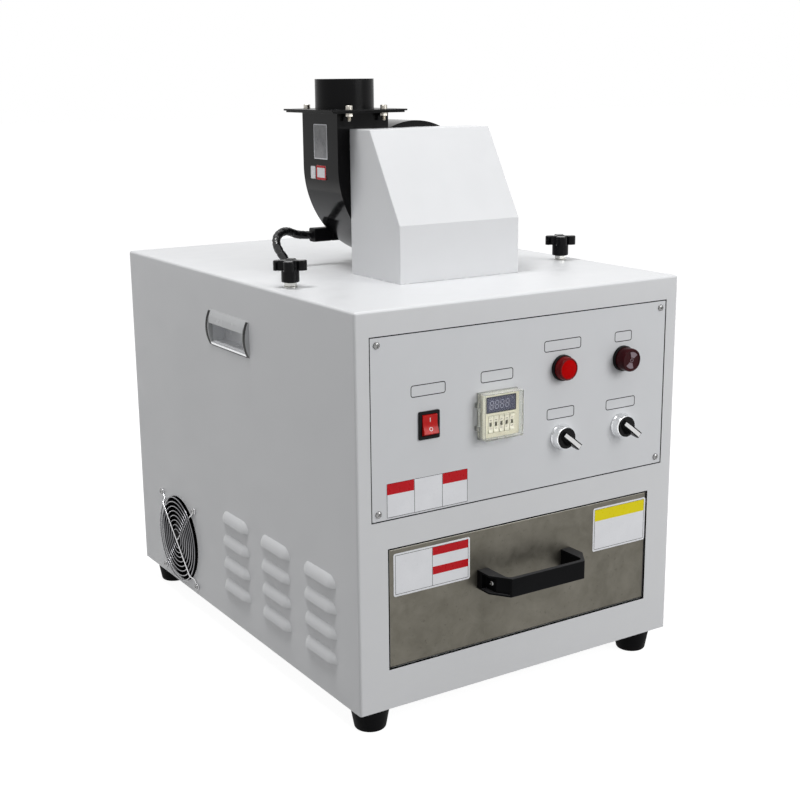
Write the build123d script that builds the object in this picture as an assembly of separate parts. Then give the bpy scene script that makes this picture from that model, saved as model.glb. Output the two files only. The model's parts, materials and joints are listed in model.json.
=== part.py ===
from build123d import *
import math
import os

# UV curing box: sheet-metal cabinet with a drawer, a lamp carriage on two star knobs,
# a control panel, a side fan and an exhaust blower behind a welded hood.
# X runs to the right, Y to the rear from the front face, Z up from the floor.

# Cabinet
cabinet_width = 440.0
cabinet_depth = 600.0
cabinet_height = 440.0
sheet = 1.5
bend_radius = 3.0
rear_flange_width = 14.0
foot_height = 30.0
foot_top_radius = 23.0
foot_bottom_radius = 17.5
foot_bore_radius = 6.0
foot_ring_radius = 8.0
foot_edge_radius = 3.0
foot_bore_depth = 22.0
foot_inset = 29.0
pan_lip_height = 20.0
pan_corner = 4.0

# Fits
panel_gap = 1.0
running_gap = 0.06
hole_gap = 0.4
sheet_gap = 0.3

# Bands of white sheet round the panel and the drawer
panel_side_band = 18.0
panel_top_band = 28.1
middle_band = 32.65
drawer_side_band = 37.0
drawer_bottom_band = 45.75
drawer_opening_height = 137.5

# Control panel
panel_thickness = 2.0
panel_recess = 0.4
panel_seat_width = 12.0
panel_screw_inset = 8.0

# Screws of panel, guard and rear cover
screw_head_radius = 3.8
screw_head_height = 2.4
screw_head_round = 1.7
screw_shank_radius = 1.8
screw_shank_length = 8.0

# Drawer
drawer_opening_return = 10.0
drawer_front_gap = 1.2
drawer_front_recess = 1.0
drawer_front_return = 14.0
drawer_front_radius = 2.0
drawer_sheet = 1.2
tray_side_gap = 18.0
tray_rear_gap = 20.0
tray_floor_height = 52.0
tray_wall_height = 78.0
tray_rim_width = 6.0

# Roller runners
runner_sheet = 1.2
channel_floor_height = 70.0
channel_clear_height = 16.0
channel_flange_width = 10.0
channel_front = 52.0
channel_rear_gap = 8.0
runner_web_front = 18.0
drawer_rail_web_bottom = 54.0
drawer_rail_flange_height = 93.8
drawer_rail_flange_width = 10.8
drawer_rail_gap = 20.0
roller_gap = 0.3
front_roller_radius = 9.0
front_roller_depth = 34.0
rear_roller_gap = 24.0
roller_width = 7.0
roller_stand_off = 3.4
roller_axle_radius = 2.5

# Drawer bay and lamp chamber
bay_side_gap = 15.0
bay_front = 16.0
electrical_bay_depth = 214.0
bay_wall_height = 188.0
chamber_depth = 160.0
liner_gap = 0.5

# Drawer handle
handle_width = 133.0
handle_reach = 44.0
handle_height = 22.0
handle_centre_height = 124.5
handle_leg_straight = 22.0
handle_flat_width = 102.6
handle_leg_thickness = 14.0
handle_bar_thickness = 5.0
handle_edge_radius = 1.2
handle_inner_radius = 6.0
handle_screw_head_radius = 3.4
handle_screw_head_height = 1.8
handle_screw_back = 19.0
handle_plate = 2.3
handle_pocket_start = 8.0
handle_pocket_end = 27.0
handle_pocket_depth = 6.5
handle_end_skin = 2.0

# Side grips
grip_width = 109.0
grip_height = 44.0
grip_centre_depth = 293.5
grip_centre_drop = 66.0
grip_bulge = 5.5
grip_cheek = 6.0
grip_groove = 0.8
grip_lip_height = 4.5
grip_cover_height = 15.5
grip_pocket_depth = 18.5
grip_pocket_inset = 4.0
grip_wall = 2.0

# Louvres
louvre_length = 72.0
louvre_height = 13.5
louvre_rise = 5.5
louvre_sheet = 1.2
louvre_column_pitch = 106.0
louvre_column_count = 3
louvre_first_column_depth = 84.0
louvre_row_pitch = 29.5
louvre_row_count = 4
louvre_first_row_height = 42.5

# Side fan
fan_rear_inset = 126.5
fan_centre_height = 64.0
fan_size = 120.0
fan_thickness = 38.0
fan_corner_radius = 6.0
fan_bore_radius = 57.0
fan_flange_thickness = 4.0
fan_screw_pitch = 105.0
fan_hub_radius = 30.0
fan_hub_depth = 28.0
fan_blade_count = 7
fan_blade_gap = 1.5
fan_blade_thickness = 1.6
fan_blade_chord = 25.0
fan_blade_pitch_angle = 32.0
fan_blade_tip_angle = 19.0
fan_mount_hub_radius = 27.0
fan_strut_width = 7.0
fan_strut_thickness = 4.0
fan_shaft_radius = 2.5
fan_opening_radius = 58.0

# Wire guard
guard_wire_radius = 1.0
guard_ring_radius = 0.8
guard_weld = 0.2
guard_ring_count = 8
guard_inner_radius = 13.0
guard_outer_radius = 57.0
guard_stand_off = 6.0
guard_eye_radius = 4.6
guard_arm_bend = 63.0

# Exhaust hood, its heights above the cabinet's top
hood_width = 167.0
hood_front_depth = 128.0
hood_knee_rise = 65.6
hood_top_front_depth = 189.7
hood_top_rise = 169.3
hood_rear_depth = 235.0
hood_edge_radius = 1.2
hood_inlet_margin = 8.0

# Blower housing, its heights above the cabinet's top
blower_width = 84.0
blower_wall = 2.0
scroll_outer_radius = 117.5
scroll_lower_radius = 80.0
scroll_upper_radius = 90.0
scroll_centre_x = 18.0
scroll_bottom_rise = 7.0
neck_right_x = -30.0
neck_top_rise = 189.3
neck_lip_width = 97.0
neck_lip_depth = 114.0
neck_lip_thickness = 2.0
blower_inlet_radius = 38.0
impeller_centre_x = 12.0
impeller_centre_rise = 100.0
impeller_radius = 60.0
impeller_inner_radius = 50.0
impeller_blade_count = 20
impeller_blade_thickness = 1.4
impeller_plate = 1.5
impeller_end_gap = 4.0
impeller_hub_radius = 10.0
impeller_shaft_radius = 4.0
motor_radius = 42.0
motor_length = 62.0
motor_flange_radius = 50.0
motor_flange_thickness = 3.0
motor_rib_count = 12
motor_boss_radius = 13.0
motor_cap_radius = 33.6
motor_box_width = 36.0
motor_box_height = 36.0
motor_box_depth = 26.0

# Duct adapter
adapter_width = 102.0
adapter_depth = 118.0
adapter_plate = 2.0
collar_radius = 35.0
collar_wall = 2.0
collar_height = 34.7
adapter_bolt_x = 23.5
adapter_bolt_y = 50.5
bolt_radius = 2.5
bolt_head_radius = 4.2
bolt_head_height = 5.0
bolt_nut_width = 8.0
bolt_nut_height = 4.0
bolt_end_length = 6.0

# Blower lead, its connector block and its grommet
lead_diameter = 11.0
connector_width = 42.0
connector_depth = 15.0
connector_height = 17.0
connector_left_x = -86.0
connector_centre_rise = 38.0
connector_waist_share = 0.55
grommet_x = -138.0
grommet_depth = 292.0
grommet_radius = 9.5
grommet_flange = 2.5
grommet_thickness = 2.5
lead_bend_share = 0.45

# The lead's corners, as places in plan and height above the cabinet's top
lead_corners = [
    (-86.0, 327.0, 38.0),
    (-104.0, 327.0, 38.0),
    (-124.0, 323.0, 47.0),
    (-141.0, 316.0, 42.0),
    (-146.0, 308.0, 30.0),
    (-141.0, 299.0, 18.0),
    (-138.0, 292.0, 6.0),
    (-138.0, 292.0, -7.5),
]

# Lamp carriage and star knobs
lift_inset = 27.0
lift_depth = 184.0
lift_stud_radius = 4.0
lift_stud_length = 90.9
lift_travel = 16.0
knob_height = 24.5
knob_hub_radius = 10.2
knob_hub_chamfer = 0.8
knob_hub_height = 13.3
knob_lobe_radius = 6.8
knob_lobe_circle = 12.2
knob_lobe_count = 4
knob_edge_radius = 1.5
knob_dish_radius = 5.5
knob_dish_depth = 0.8
left_knob_angle = 58.0
right_knob_angle = 58.0
knob_engagement = 5.5
knob_tip_gap = 0.9
washer_radius = 7.8
washer_thickness = 1.6
lift_nut_width = 12.6
lift_nut_height = 4.6
lock_nut_width = 11.4
carriage_arm_reach = 23.0
reflector_half_width = 48.0
reflector_rise = 58.0
reflector_mouth_drop = 140.0
reflector_shoulder = 0.3
reflector_bow_across = 0.72
reflector_bow_up = 0.82
reflector_slot_pitch = 100.0
reflector_slot_length = 85.0
reflector_sheet = 1.5
reflector_slot_width = 14.0
reflector_lip = 8.0
lamp_radius = 11.0
lamp_end_gap = 39.0
lamp_drop = 36.0
lamp_holder_length = 30.0
lamp_holder_radius = 14.0
carriage_arm_width = 24.0

# Panel controls, from the panel's middle
rocker_x = -130.7
timer_x = -42.0
left_column_x = 48.4
right_column_x = 137.4
main_row_drop = 2.0
beacon_row_rise = 37.1
selector_row_drop = 42.4

# Main switch
rocker_bezel_width = 26.0
rocker_bezel_height = 30.5
rocker_bezel_thickness = 2.0
rocker_width = 18.6
rocker_radius = 11.6
rocker_pivot_back = 1.0
rocker_edge_reach = 5.0
rocker_middle_reach = 3.2
rocker_tilt = 10.0
rocker_body_depth = 24.0
rocker_slot_gap = 0.3
rocker_pin_radius = 1.5
spade_width = 4.8
spade_thickness = 0.8
spade_length = 8.0

# Selectors, lamp and buzzer
bezel_radius = 14.75
bezel_step = 3.0
selector_bezel_height = 10.0
selector_bezel_mouth = 12.4
selector_rotor_radius = 10.7
selector_rotor_face = 12.0
selector_floor = 3.0
selector_shaft_radius = 4.0
selector_lever_width = 7.6
selector_lever_back = 8.0
selector_lever_front = 12.6
selector_lever_rise = 12.5
selector_lever_low = 2.6
selector_lever_waist = 7.5
selector_nose = 0.8
selector_nose_drop = 3.7
selector_rest_angle = -45.0
barrel_radius = 10.9
barrel_length = 24.0
barrel_nut_width = 27.0
barrel_nut_thickness = 4.0
block_size = 28.0
block_depth = 26.0
beacon_bezel_height = 4.0
lens_radius = 13.25
lens_height = 9.0
lens_wall = 1.4
lens_edge_radius = 1.6
buzzer_radius = 13.5
buzzer_height = 13.0
buzzer_window_inner = 3.2
buzzer_window_outer = 10.0
buzzer_window_angle = 76.0
sounder_radius = 11.2
sounder_thickness = 3.0

# Timer
timer_size = 48.0
timer_bezel = 8.4
timer_body = 44.5
timer_body_depth = 70.0
timer_display_width = 40.0
timer_display_height = 18.0
timer_display_thickness = 0.8
timer_display_rise = 12.0
key_count = 5
key_pitch = 7.2
key_width = 5.6
key_height = 19.0
key_thickness = 1.2
key_proud = 0.4
key_drop = 9.5
key_slot_gap = 0.2
key_window_width = 3.4
key_window_height = 5.0
key_tab_height = 1.0
key_rib_radius = 0.4
key_swing_gap = 1.08
digit_wheel_radius = 4.0
digit_wheel_width = 3.2
cover_size = 51.4
cover_wall = 1.3
cover_height = 9.1
cover_back_gap = 5.9
cover_knuckle_radius = 1.6
cover_pin_radius = 0.8
cover_knuckle_length = 5.0
cover_hinge_out = 27.9
cover_hinge_proud = 6.4
cover_frame_size = 52.0
cover_frame_thickness = 4.0
cover_frame_gap = 0.3

# Electrical bay
ballast_width = 150.0
ballast_depth = 62.0
ballast_height = 66.0
ballast_x = 40.0
ballast_rear_inset = 80.0
ballast_winding_share = 0.6
ballast_foot = 12.0
capacitor_radius = 22.0
capacitor_height = 92.0
capacitor_x = 158.0
terminal_length = 96.0
terminal_depth = 20.0
terminal_height = 18.0
terminal_way_count = 8
terminal_rear_inset = 144.0
terminal_way_share = 0.6
gland_x = 150.0
gland_height = 90.0
gland_thread_radius = 9.0
gland_hex_width = 22.0
gland_hex_height = 6.0
gland_cap_radius = 10.5
gland_cap_height = 14.0
gland_shoulder_radius = 9.0
gland_shoulder_height = 11.5
gland_bore_radius = 4.0
rear_vent_length = 60.0
rear_vent_width = 5.0
rear_vent_pitch = 14.0
rear_vent_count = 6
rear_vent_x = -110.0
rear_vent_height = 300.0

# Levels and places that follow from the sizes above
body_bottom = foot_height
body_top = foot_height + cabinet_height
half_width = cabinet_width / 2
panel_width = cabinet_width - 2 * panel_side_band
panel_height = (
    cabinet_height - panel_top_band - middle_band - drawer_opening_height - drawer_bottom_band
)
panel_face = panel_recess
panel_back = panel_recess + panel_thickness
panel_z = body_top - panel_top_band - panel_height / 2
drawer_opening_width = cabinet_width - 2 * drawer_side_band
drawer_z = body_bottom + drawer_bottom_band + drawer_opening_height / 2
tray_width = drawer_opening_width - 2 * tray_side_gap
roller_inner_face = tray_width / 2 + runner_sheet + roller_stand_off
bay_half_width = tray_width / 2 + bay_side_gap
bay_rear = cabinet_depth - electrical_bay_depth
tray_depth = bay_rear - tray_rear_gap
channel_rear = bay_rear - channel_rear_gap
drawer_rail_length = channel_rear - drawer_rail_gap
rear_roller_depth = channel_rear - rear_roller_gap
chamber_front = lift_depth - chamber_depth / 2
chamber_rear = lift_depth + chamber_depth / 2
chamber_half_width = half_width - grip_pocket_depth - liner_gap
lift_x = half_width - lift_inset
reflector_length = 2 * (lift_x - carriage_arm_reach)
lamp_length = reflector_length - 2 * lamp_end_gap
pan_top = body_bottom + sheet
bay_floor_top = pan_top + sheet
bay_top = pan_top + bay_wall_height
tray_floor = foot_height + tray_floor_height
tray_back = drawer_front_recess + drawer_sheet + tray_depth
channel_floor = foot_height + channel_floor_height
rail_flange = foot_height + drawer_rail_flange_height
rear_roller_radius = channel_clear_height / 2 - roller_gap
rear_roller_z = channel_floor + channel_clear_height / 2
front_roller_z = rail_flange - roller_gap - front_roller_radius
hood_base = body_top
hood_knee = hood_base + hood_knee_rise
hood_top = hood_base + hood_top_rise
blower_front = hood_rear_depth
blower_rear = blower_front + blower_width
blower_middle = (blower_front + blower_rear) / 2
scroll_bottom = body_top + scroll_bottom_rise
scroll_upper_x = scroll_centre_x + scroll_lower_radius - scroll_upper_radius
scroll_level = scroll_bottom + scroll_lower_radius
neck_left_x = scroll_centre_x - scroll_outer_radius
neck_middle_x = (neck_left_x + neck_right_x) / 2
neck_top = body_top + neck_top_rise
impeller_z = body_top + impeller_centre_rise
connector_z = body_top + connector_centre_rise
lead_route = [(x, y, body_top + rise) for x, y, rise in lead_corners]
adapter_top = neck_top + adapter_plate
collar_top = adapter_top + collar_height
cover_back = cabinet_depth - sheet
knob_bottom = body_top + washer_thickness + lift_nut_height
stud_top = knob_bottom + knob_engagement
stud_bottom = stud_top - lift_stud_length
reflector_mouth = body_top - reflector_mouth_drop
reflector_top = reflector_mouth + reflector_rise
lamp_z = reflector_top - lamp_drop
main_row = panel_z - main_row_drop
beacon_row = panel_z + beacon_row_rise
selector_row = panel_z - selector_row_drop
timer_front = panel_face - timer_bezel
key_back = timer_front + key_thickness - key_proud
key_slot_floor = key_back + key_swing_gap
fan_centre_depth = cabinet_depth - fan_rear_inset
ballast_centre_depth = cabinet_depth - ballast_rear_inset
terminal_centre_depth = cabinet_depth - terminal_rear_inset
grip_z = body_top - grip_centre_drop

# The footprint's middle, from the handle's front to the gland's rear and between the two sides
guard_proud = guard_stand_off + guard_wire_radius
gland_proud = gland_hex_height + gland_cap_height
middle_x = (louvre_rise - guard_proud) / 2
handle_front = drawer_front_recess - handle_reach
middle_y = (handle_front + cabinet_depth + gland_proud) / 2


# Solids drawn as seen from the front, the side and the top, between two positions
def from_front(sketch, near, far):
    return extrude(Plane.XZ.offset(-near) * sketch, amount=far - near, dir=(0, 1, 0))


def from_side(sketch, low, high):
    return extrude(Plane.YZ.offset(low) * sketch, amount=high - low, dir=(1, 0, 0))


def from_top(sketch, low, high):
    return extrude(Plane.XY.offset(low) * sketch, amount=high - low, dir=(0, 0, 1))


def outline(*points):
    return make_face(Polyline(*points, close=True))


def hexagon(width):
    return RegularPolygon(width / 2, 6, major_radius=False)


def both_sides(shape):
    return [shape, mirror(shape, about=Plane.YZ)]


def group(shapes):
    return Compound([solid for shape in shapes for solid in shape.solids()])


def frame_of(outer_width, outer_height, inner_width, inner_height):
    return Rectangle(outer_width, outer_height) - Rectangle(inner_width, inner_height)


# A turned piece whose profile is drawn as radius and height, standing on a point along an axis
def turned(profile, base, direction):
    solid = revolve(Plane.XZ * profile, Axis.Z)
    return Plane(origin=base, z_dir=direction).location * solid


# Cabinet shell

def bent_box(inset, low, high, rear):
    half = half_width - inset
    box = from_top(
        Pos(0, (inset + rear) / 2) * Rectangle(2 * half, rear - inset), low, high
    )
    uprights = box.edges().filter_by(Axis.Z).group_by(Axis.Y)[0]
    roof = box.edges().group_by(Axis.Z)[-1]
    roof_bends = [edge for edge in roof if edge.center().Y < rear - inset]
    return fillet(list(uprights) + roof_bends, bend_radius - inset)


def louvre_dome(length, height, rise):
    arc_radius = (height**2 + rise**2) / (2 * rise)
    centre = rise - arc_radius
    half_angle = math.asin(height / arc_radius) / 2
    middle = (arc_radius * math.sin(half_angle), centre + arc_radius * math.cos(half_angle))
    profile = make_face(
        [
            ThreePointArc((0, rise), middle, (height, 0)),
            Line((height, 0), (0, 0)),
            Line((0, 0), (0, rise)),
        ]
    )
    straight = length / 2 - height
    section = Plane.YZ * profile
    body = extrude(Plane.YZ.offset(-straight) * profile, amount=2 * straight, dir=(1, 0, 0))
    for end in (1, -1):
        quarter = revolve(section, Axis((0, 0, 0), (0, 0, -end)), 90)
        body += Pos(end * straight, 0, 0) * quarter
    return body


def louvre_places():
    for column in range(louvre_column_count):
        for row in range(louvre_row_count):
            depth = louvre_first_column_depth + column * louvre_column_pitch
            height = body_bottom + louvre_first_row_height + row * louvre_row_pitch
            yield depth, height


def louvred_sides(shell):
    outer = louvre_dome(louvre_length, louvre_height, louvre_rise)
    inner = louvre_dome(
        louvre_length - 2 * louvre_sheet, louvre_height - louvre_sheet, louvre_rise - louvre_sheet
    )
    mouth = extrude(inner.faces().sort_by(Axis.Z)[0], amount=sheet, dir=(0, 0, -1))
    hollow = inner + mouth
    domes = []
    hollows = []
    for depth, height in louvre_places():
        for side in (-1, 1):
            wall = Plane(
                origin=(side * half_width, depth, height), x_dir=(0, side, 0), z_dir=(side, 0, 0)
            )
            domes.append(wall.location * outer)
            hollows.append(wall.location * hollow)
    return (shell + domes) - hollows


def panel_screw_places():
    for x in (-1, 1):
        for z in (-1, 1):
            yield (
                x * (panel_width / 2 - panel_screw_inset),
                panel_z + z * (panel_height / 2 - panel_screw_inset),
            )


def fan_screw_places():
    for y in (-1, 1):
        for z in (-1, 1):
            yield (
                fan_centre_depth + y * fan_screw_pitch / 2,
                body_bottom + fan_centre_height + z * fan_screw_pitch / 2,
            )


def cover_screw_places():
    edge = half_width - sheet - rear_flange_width / 2
    rise = cabinet_height / 2 - sheet - rear_flange_width / 2
    middle = body_bottom + cabinet_height / 2
    for x in (-1, 0, 1):
        for z in (-1, 0, 1):
            if x or z:
                yield x * edge, middle + z * rise


def cabinet_shell():
    shell = bent_box(0, body_bottom, body_top, cabinet_depth)
    shell -= bent_box(sheet, body_bottom - sheet, body_top - sheet, cabinet_depth + sheet)

    flange_width = cabinet_width - 2 * sheet
    flange_height = cabinet_height - 2 * sheet
    middle_z = body_bottom + cabinet_height / 2
    flange = frame_of(
        flange_width,
        flange_height,
        flange_width - 2 * rear_flange_width,
        flange_height - 2 * rear_flange_width,
    )
    shell += from_front(Pos(0, middle_z) * flange, cover_back - sheet, cover_back)

    opening_width = panel_width + 2 * panel_gap
    opening_height = panel_height + 2 * panel_gap
    opening = Pos(0, panel_z) * Rectangle(opening_width, opening_height)
    shell -= from_front(opening, -sheet, 2 * sheet)
    joggle = frame_of(
        opening_width + 2 * sheet, opening_height + 2 * sheet, opening_width, opening_height
    )
    shell += from_front(Pos(0, panel_z) * joggle, sheet / 2, panel_back + sheet)
    seat = frame_of(
        opening_width + 2 * sheet,
        opening_height + 2 * sheet,
        opening_width - 2 * panel_seat_width,
        opening_height - 2 * panel_seat_width,
    )
    shell += from_front(Pos(0, panel_z) * seat, panel_back, panel_back + sheet)

    mouth = Pos(0, drawer_z) * Rectangle(drawer_opening_width, drawer_opening_height)
    shell -= from_front(mouth, -sheet, 2 * sheet)
    fold = frame_of(
        drawer_opening_width + 2 * sheet,
        drawer_opening_height + 2 * sheet,
        drawer_opening_width,
        drawer_opening_height,
    )
    shell += from_front(Pos(0, drawer_z) * fold, sheet / 2, drawer_opening_return)

    holes = []
    for x, z in panel_screw_places():
        holes.append(from_front(Pos(x, z) * Circle(screw_shank_radius + hole_gap), 0, 4 * sheet))
    for x, z in cover_screw_places():
        hole = Pos(x, z) * Circle(screw_shank_radius + hole_gap)
        holes.append(from_front(hole, cover_back - 2 * sheet, cabinet_depth))
    fan_hole = Pos(fan_centre_depth, body_bottom + fan_centre_height) * Circle(fan_opening_radius)
    holes.append(from_side(fan_hole, -half_width - sheet, -half_width + 2 * sheet))
    for y, z in fan_screw_places():
        hole = Pos(y, z) * Circle(screw_shank_radius + hole_gap)
        holes.append(from_side(hole, -half_width - sheet, -half_width + 2 * sheet))
    pocket = grip_pocket_sketch(sheet_gap)
    for side in both_sides(from_side(pocket, -half_width - sheet, -half_width + 2 * sheet)):
        holes.append(side)

    duct_front = hood_front_depth + hood_inlet_margin
    duct_rear = hood_rear_depth - hood_inlet_margin
    duct_width = hood_width - 2 * hood_inlet_margin
    duct = Pos(0, (duct_front + duct_rear) / 2) * Rectangle(duct_width, duct_rear - duct_front)
    holes.append(from_top(duct, body_top - 2 * sheet, body_top + sheet))
    for x in (-lift_x, lift_x):
        hole = Pos(x, lift_depth) * Circle(lift_stud_radius + hole_gap)
        holes.append(from_top(hole, body_top - 2 * sheet, body_top + sheet))
    grommet_hole = Pos(grommet_x, grommet_depth) * Circle(grommet_radius - grommet_flange + hole_gap)
    holes.append(from_top(grommet_hole, body_top - 2 * sheet, body_top + sheet))
    return louvred_sides(shell - holes)


def base_plate():
    width = cabinet_width - 2 * sheet
    depth = cover_back - 2 * sheet
    plan = Pos(0, sheet + depth / 2) * RectangleRounded(width, depth, pan_corner)
    inside = Pos(0, sheet + depth / 2) * RectangleRounded(
        width - 2 * sheet, depth - 2 * sheet, pan_corner - sheet
    )
    lip_top = body_bottom + pan_lip_height
    pan = from_top(plan, body_bottom, lip_top) - from_top(inside, pan_top, lip_top + sheet)
    notch = Pos(-half_width, fan_centre_depth) * Rectangle(
        4 * pan_corner, fan_size + 2 * panel_gap
    )
    pan -= from_top(notch, pan_top, lip_top + sheet)
    for x, z in cover_screw_places():
        hole = Pos(x, z) * Circle(screw_shank_radius + hole_gap)
        pan -= from_front(hole, cover_back - 3 * sheet, cover_back)
    return pan


def rear_cover():
    width = cabinet_width - 2 * sheet - 2 * sheet_gap
    height = cabinet_height - 2 * sheet - 2 * sheet_gap
    middle_z = body_bottom + cabinet_height / 2
    plate = Pos(0, middle_z) * RectangleRounded(width, height, bend_radius)
    for x, z in cover_screw_places():
        plate -= Pos(x, z) * Circle(screw_shank_radius + hole_gap)
    plate -= Pos(gland_x, foot_height + gland_height) * Circle(gland_thread_radius + hole_gap)
    for index in range(rear_vent_count):
        z = foot_height + rear_vent_height + index * rear_vent_pitch
        plate -= Pos(rear_vent_x, z) * SlotOverall(rear_vent_length, rear_vent_width)
    return from_front(plate, cover_back, cabinet_depth)


def rubber_feet():
    profile = outline(
        (foot_bore_radius, foot_height),
        (foot_top_radius, foot_height),
        (foot_bottom_radius, 0),
        (foot_ring_radius, 0),
        (foot_bore_radius, foot_height - foot_bore_depth),
    )
    tread = profile.vertices().group_by(Axis.Y)[0].sort_by(Axis.X)[-1]
    profile = fillet(tread, foot_edge_radius)
    foot = turned(profile, (0, 0, 0), (0, 0, 1))
    feet = []
    for x in (-half_width + foot_inset, half_width - foot_inset):
        for y in (foot_inset, cabinet_depth - foot_inset):
            feet.append(Pos(x, y, 0) * foot)
    return group(feet)


def pan_screw(place, direction):
    head = from_top(Circle(screw_head_radius), 0, screw_head_height)
    head = fillet(head.edges().group_by(Axis.Z)[-1], screw_head_round)
    screw = head + from_top(hexagon(2 * screw_shank_radius), -screw_shank_length, 0)
    return Plane(origin=place, z_dir=direction).location * screw


def case_screws():
    screws = []
    for x, z in panel_screw_places():
        screws.append(pan_screw((x, panel_face, z), (0, -1, 0)))
    for x, z in cover_screw_places():
        screws.append(pan_screw((x, cabinet_depth, z), (0, 1, 0)))
    for y, z in fan_screw_places():
        screws.append(pan_screw((-half_width - 2 * guard_wire_radius, y, z), (-1, 0, 0)))
    return group(screws)


# Control panel and what it carries

def panel_round_places():
    for x in (left_column_x, right_column_x):
        for z in (beacon_row, selector_row):
            yield x, z


def control_panel():
    plate = Pos(0, panel_z) * RectangleRounded(panel_width, panel_height, bend_radius / 2)
    for x, z in panel_screw_places():
        plate -= Pos(x, z) * Circle(screw_shank_radius + hole_gap)
    for x, z in panel_round_places():
        plate -= Pos(x, z) * Circle(barrel_radius + sheet_gap)
    rocker_cut_width = rocker_width + 2 * (rocker_slot_gap + sheet)
    rocker_cut_height = 2 * (rocker_radius + rocker_slot_gap + sheet)
    plate -= Pos(rocker_x, main_row) * Rectangle(
        rocker_cut_width + sheet_gap, rocker_cut_height + sheet_gap
    )
    plate -= Pos(timer_x, main_row) * Rectangle(timer_body + 2 * sheet_gap, timer_body + 2 * sheet_gap)
    return from_front(plate, panel_face, panel_back)


def rocker_housing():
    inner_width = rocker_width + 2 * rocker_slot_gap
    inner_height = 2 * (rocker_radius + rocker_slot_gap)
    bezel = RectangleRounded(rocker_bezel_width, rocker_bezel_height, sheet)
    housing = from_front(bezel, panel_face - rocker_bezel_thickness, panel_face)
    body = Rectangle(inner_width + 2 * sheet, inner_height + 2 * sheet)
    housing += from_front(body, panel_face, panel_face + rocker_body_depth)
    cavity_depth = panel_face + rocker_pivot_back + rocker_radius + rocker_slot_gap
    cavity = from_front(
        Rectangle(inner_width, inner_height), panel_face - 2 * rocker_bezel_thickness, cavity_depth
    )
    housing -= cavity
    pin = Pos(panel_face + rocker_pivot_back, 0) * Circle(rocker_pin_radius)
    housing += from_side(pin, -inner_width / 2 - sheet / 2, inner_width / 2 + sheet / 2)
    spade = Rectangle(spade_width, spade_thickness)
    tail = panel_face + rocker_body_depth
    for x in (-1, 1):
        for z in (-1, 1):
            place = Pos(x * inner_width / 4, z * inner_height / 4)
            housing += from_front(place * spade, tail, tail + spade_length)
    return Pos(rocker_x, 0, main_row) * housing


def rocker():
    edge = math.sqrt(rocker_radius**2 - (rocker_edge_reach + rocker_pivot_back) ** 2)
    front = -rocker_edge_reach - rocker_pivot_back
    middle = -rocker_middle_reach - rocker_pivot_back
    profile = Circle(rocker_radius) & outline(
        (front, -edge),
        (middle, 0),
        (front, edge),
        (rocker_radius / 2, 2 * edge),
        (rocker_radius / 2, -2 * edge),
    )
    profile -= Circle(rocker_pin_radius + running_gap)
    body = from_side(profile, -rocker_width / 2, rocker_width / 2)
    body = Rot(-rocker_tilt, 0, 0) * body
    return Pos(rocker_x, panel_face + rocker_pivot_back, main_row) * body


# Threaded barrel with its lock nut, behind the panel
def barrel():
    body = from_front(Circle(barrel_radius), panel_face, panel_face + barrel_length)
    nut_front = panel_back
    return body + from_front(hexagon(barrel_nut_width), nut_front, nut_front + barrel_nut_thickness)


def selector_bezels():
    mouth = selector_rotor_radius + sheet_gap
    profile = outline(
        (0, 0),
        (bezel_radius, 0),
        (bezel_radius, bezel_step),
        (selector_bezel_mouth, selector_bezel_height),
        (mouth, selector_bezel_height),
        (mouth, selector_floor),
        (0, selector_floor),
    )
    piece = turned(profile, (0, panel_face, 0), (0, -1, 0)) + barrel()
    piece -= from_front(
        Circle(selector_shaft_radius + running_gap),
        panel_face - selector_bezel_height,
        panel_face + barrel_length / 2,
    )
    pieces = []
    for x in (left_column_x, right_column_x):
        pieces.append(Pos(x, 0, selector_row) * piece)
    return group(pieces)


def selector(x):
    face = panel_face - selector_rotor_face
    rotor = from_front(
        Circle(selector_rotor_radius), face, panel_face - selector_floor - sheet_gap
    )
    rotor += from_front(
        Circle(selector_shaft_radius), panel_face - selector_floor - sheet, panel_face + barrel_length / 3
    )
    lever_side = outline(
        (-selector_lever_back, face + sheet),
        (-selector_lever_back, face - selector_lever_low),
        (0, face - selector_lever_waist),
        (selector_lever_front, face - selector_lever_rise),
        (selector_lever_front + selector_nose, face - selector_lever_rise + selector_nose_drop),
        (selector_lever_back, face + sheet),
    )
    lever = extrude(Plane.XY * lever_side, amount=selector_lever_width / 2, both=True)
    lever = Rot(0, -selector_rest_angle, 0) * lever
    return Pos(x, 0, selector_row) * (rotor + lever)


def beacon_bodies():
    bezel = from_front(Circle(bezel_radius), panel_face - beacon_bezel_height, panel_face)
    piece = bezel + barrel()
    pieces = []
    for x in (left_column_x, right_column_x):
        pieces.append(Pos(x, 0, beacon_row) * piece)
    return group(pieces)


def round_cap(radius, height, wall):
    inner = radius - wall
    profile = make_face(
        [
            Line((inner, 0), (radius, 0)),
            Line((radius, 0), (radius, height - lens_edge_radius)),
            ThreePointArc(
                (radius, height - lens_edge_radius),
                (
                    radius - lens_edge_radius * (1 - math.cos(math.pi / 4)),
                    height - lens_edge_radius * (1 - math.sin(math.pi / 4)),
                ),
                (radius - lens_edge_radius, height),
            ),
            Line((radius - lens_edge_radius, height), (0, height)),
            Line((0, height), (0, height - wall)),
            Line((0, height - wall), (inner, height - wall)),
            Line((inner, height - wall), (inner, 0)),
        ]
    )
    return turned(profile, (0, panel_face - beacon_bezel_height, 0), (0, -1, 0))


def pilot_lens():
    return Pos(left_column_x, 0, beacon_row) * round_cap(lens_radius, lens_height, lens_wall)


def sector(inner, outer, angle):
    half = math.radians(angle / 2)
    tip = 2 * outer
    wedge = outline((0, 0), (tip * math.sin(half), tip), (-tip * math.sin(half), tip))
    return (Circle(outer) - Circle(inner)) & wedge


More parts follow.
